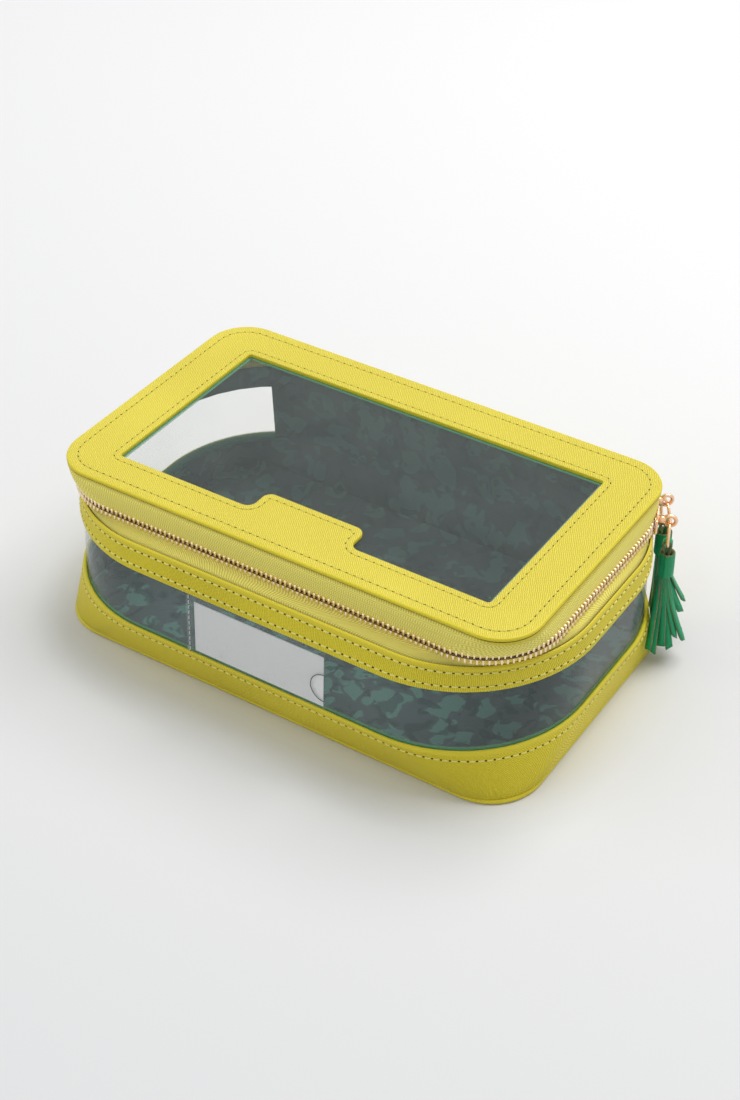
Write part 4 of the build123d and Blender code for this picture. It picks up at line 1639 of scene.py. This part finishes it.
    def cap(self) -> None:
        """Build the cap: a band of leather rolled round the strips and glued over itself."""
        top, foot = self.cap_top - CHAIN.height, self.cap_foot - CHAIN.height
        turns, sweep, start = 40, math.tau * 1.12, math.radians(self.overlap)
        rows = []
        for up, grow in (
            (foot, -0.42), (foot + 0.12, 0.0), (foot + 0.6, 0.06), (top - 3.5, -0.02),
            (top - 0.6, -0.06), (top - 0.1, -0.12), (top, -0.42), (top, -0.85), (foot, -0.85),
        ):
            centre, row = self.at(0, up, self.eye_out + 0.3), []
            for step in range(turns + 1):
                share = step / turns
                wide = self.cap_radius + self.cap_wind * share + grow
                row.append(centre + self.arm(start + sweep * share) * wide)
            rows.append(row)
        draft = Draft()
        first = draft.rows(rows, wrapped=True, marks=[0] * 5 + [1] * 3 + [0])
        for end in (first, first + turns):
            draft.cap([end + (turns + 1) * row for row in range(len(rows))], 1)
        self.settle(draft, "tassel_roll", "tassel", "tassel_cap")

    def strips(self) -> None:
        """Build the cut strips."""
        draft, chance = Draft(), random.Random(self.seed)
        for fan in self.fan:
            self.strip(draft, fan, chance)
        self.settle(draft, "tassel_fringe", "tassel", "tassel_strips")

    def strip(self, draft: Draft, fan: tuple, chance: random.Random) -> None:
        """Add one strip, with its own bend, twist and slanting end.

        Args:
            draft: The draft that it joins.
            fan: Its place round the tassel in degrees, how far its end stands along the chain
                and out from it, and its end's height.
            chance: What its width, twist, curl and slant are drawn from.
        """
        around, along, out, foot = fan
        wide, twist = chance.uniform(1.4, 1.85), math.radians(chance.uniform(-30, 30))
        curl, slant = chance.uniform(-0.7, 0.7), chance.uniform(0.6, 1.6) * chance.choice((-1, 1))
        arm = self.arm(math.radians(around))
        side = Vector((0, 0, 1)).cross(arm).normalized()
        rows, steps, head = [], 16, self.strip_head
        for step in range(steps + 1):
            height = head + (foot - head) * (step / steps)
            drop = max(0.0, (self.cap_foot - height) / (self.cap_foot - foot))
            centre = self.at(0, height - CHAIN.height, self.eye_out) + arm * self.strip_out
            centre += (self.along * along + self.out * out) * drop**1.3
            centre += side * curl * math.sin(math.pi * drop)
            turn = twist * drop
            across = side * math.cos(turn) + arm * math.sin(turn)
            depth = arm * math.cos(turn) - side * math.sin(turn)
            width = wide * (0.6 + 0.4 * min(1.0, drop * 3))
            lift = Vector((0, 0, slant if step == steps else 0))
            rows.append([
                centre + across * a * width + depth * b + lift * a
                for a, b in ((-1, -0.36), (1, -0.36), (1, 0.36), (-1, 0.36))
            ])
        draft.tube(rows, sides=(1, 3), caps=(1, 1))

    def build(self) -> None:
        """Build the slider, ring and tassel."""
        self.slider()
        self.ring()
        self.strap()
        self.cap()
        self.strips()


FRONT_FAN = (
    (285, -3.0, -0.6, 12.0), (252, -14.0, -1.5, 13.8), (222, -9.5, -0.2, 9.4),
    (196, -7.0, 2.4, 11.4), (170, -4.5, 5.2, 8.8), (140, -2.6, 6.4, 12.6), (110, -0.6, 9.2, 9.6),
    (75, 1.6, 8.2, 10.8), (45, 3.6, 5.4, 9.4), (15, 4.5, 2.4, 12.2), (330, 3.0, 0.2, 11.0),
)
REAR_FAN = (
    (270, -2.5, -0.6, 12.0), (232, -5.5, -0.2, 10.4), (200, -5.0, 3.0, 12.4), (165, -3.2, 6.0, 8.8),
    (130, -1.4, 9.4, 11.6), (100, 0.8, 11.4, 14.4), (70, 3.2, 9.2, 9.4), (40, 5.0, 6.2, 11.4),
    (10, 5.5, 3.0, 9.6), (320, 3.0, 0.0, 10.6),
)


@dataclass
class Carried:
    """The CAD nodes that stay as they are, each with its own finish."""

    finishes: Finishes

    def build(self) -> None:
        """Give each kept node its finish."""
        looks = self.finishes
        for finish, names in (
            (looks.board, ("bottom_board", "back_board", "lid_board")),
            (looks.lining, ("bottom_lining", "upper_band_lining", "back_lining", "lid_lining")),
            (looks.pocket, ("label_pocket",)),
            (looks.card, ("label_card",)),
            (looks.pane, ("lid_window",)),
            (looks.binding, ("lid_edge_binding",)),
            (looks.gold, ("chain_end_stops",)),
        ):
            for name in names:
                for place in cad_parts[name].material_slots:
                    place.material = finish
                LOG.info("%s: kept with %s", name, finish.name)


@dataclass
class StudioSet:
    """The pale floor, the soft lamps and the camera at the photograph's angle."""

    finishes: Finishes
    focal_pixels: float = 2000.0
    azimuth: float = 32.9
    elevation: float = 38.1
    place: tuple = (0.35539, -0.54307, 0.54652)
    room: float = 0.4
    paper: float = 0.94
    sensor: float = 36.0
    photo_height: float = 1100.0

    def show(self, name: str, data: object) -> Piece:
        """Put a floor, lamp or camera in the scene."""
        piece = bpy.data.objects.new(name, data)
        bpy.context.scene.collection.objects.link(piece)
        return piece

    def floor(self) -> None:
        """Lay the floor under the case."""
        mesh = bpy.data.meshes.new("studio_floor")
        work = bmesh.new()
        bmesh.ops.create_grid(work, x_segments=24, y_segments=24, size=4.0)
        work.to_mesh(mesh)
        work.free()
        mesh.materials.append(self.finishes.floor)
        piece = self.show("studio_floor", mesh)
        piece.location.z = -0.0001

    def lamp(self, name: str, place: tuple, size: float, power: float, tone: tuple) -> None:
        """Hang one soft lamp that faces the case.

        Args:
            name: The lamp's name.
            place: Where it hangs, in metres.
            size: Its width in metres.
            power: Its power in watts.
            tone: Its colour.
        """
        light = bpy.data.lights.new(name, "AREA")
        light.shape, light.size, light.energy, light.color = "DISK", size, power, tone
        piece = self.show(name, light)
        piece.location = place
        way = Vector((0, 0, 0.04)) - Vector(place)
        piece.rotation_euler = way.to_track_quat("-Z", "Y").to_euler()

    def world(self) -> None:
        """Light the room evenly and paint it paper white."""
        world = bpy.data.worlds.new("studio_room")
        world.use_nodes = True
        tree = Nodes(world.node_tree)
        level = tree.node("MapRange", tree.seen(), To_Min=self.room, To_Max=self.paper)
        back = tree.nodes["Background"].inputs
        tree.feed(back["Color"], (0.97, 0.98, 1.0))
        tree.feed(back["Strength"], level.outputs["Result"])
        bpy.context.scene.world = world

    def camera(self) -> None:
        """Set the camera by the photograph's own vanishing lines."""
        turn, tilt = math.radians(self.azimuth), math.radians(self.elevation)
        right = Vector((math.cos(turn), math.sin(turn), 0))
        level, rise = math.cos(tilt), math.sin(tilt)
        back = Vector((math.sin(turn) * level, -math.cos(turn) * level, rise))
        lens = bpy.data.cameras.new("photo_camera")
        lens.sensor_width = self.sensor
        lens.lens = self.focal_pixels * self.sensor / self.photo_height
        piece = self.show("photo_camera", lens)
        columns = (right, back.cross(right), back, Vector(self.place))
        piece.matrix_world = Matrix([
            [column[row] for column in columns] for row in range(3)
        ] + [[0, 0, 0, 1]])
        bpy.context.scene.camera = piece
        bpy.context.scene.view_settings.view_transform = "Standard"

    def build(self) -> None:
        """Build the studio."""
        self.floor()
        self.world()
        self.lamp("overhead", (0.35, 0.75, 1.7), 1.6, 26.0, (1.0, 0.99, 0.97))
        self.lamp("fill", (-1.2, -0.9, 1.3), 1.6, 9.0, (0.97, 0.99, 1.0))
        self.camera()


def corners(box: tuple) -> list:
    """A box's two corners as plain numbers."""
    return [[round(float(value), 6) for value in corner] for corner in box]


def main() -> None:
    """Build the dressed case in order."""
    logging.basicConfig(level=logging.INFO, format="%(name)s: %(message)s")
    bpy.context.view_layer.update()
    finishes = Finishes()
    for part in (
        CaseLeather(finishes),
        BackHinge(finishes),
        ClearFront(finishes),
        Zipper(finishes),
        Lid(finishes),
        SliderSet(finishes, Park.FRONT, 22.0, 1, 150.0, 7, FRONT_FAN),
        SliderSet(finishes, Park.REAR, 42.0, -1, 60.0, 11, REAR_FAN),
        Carried(finishes),
        StudioSet(finishes),
    ):
        part.build()
        LOG.info("%s is built", type(part).__name__)
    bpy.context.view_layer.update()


if __name__ == "__main__":
    main()
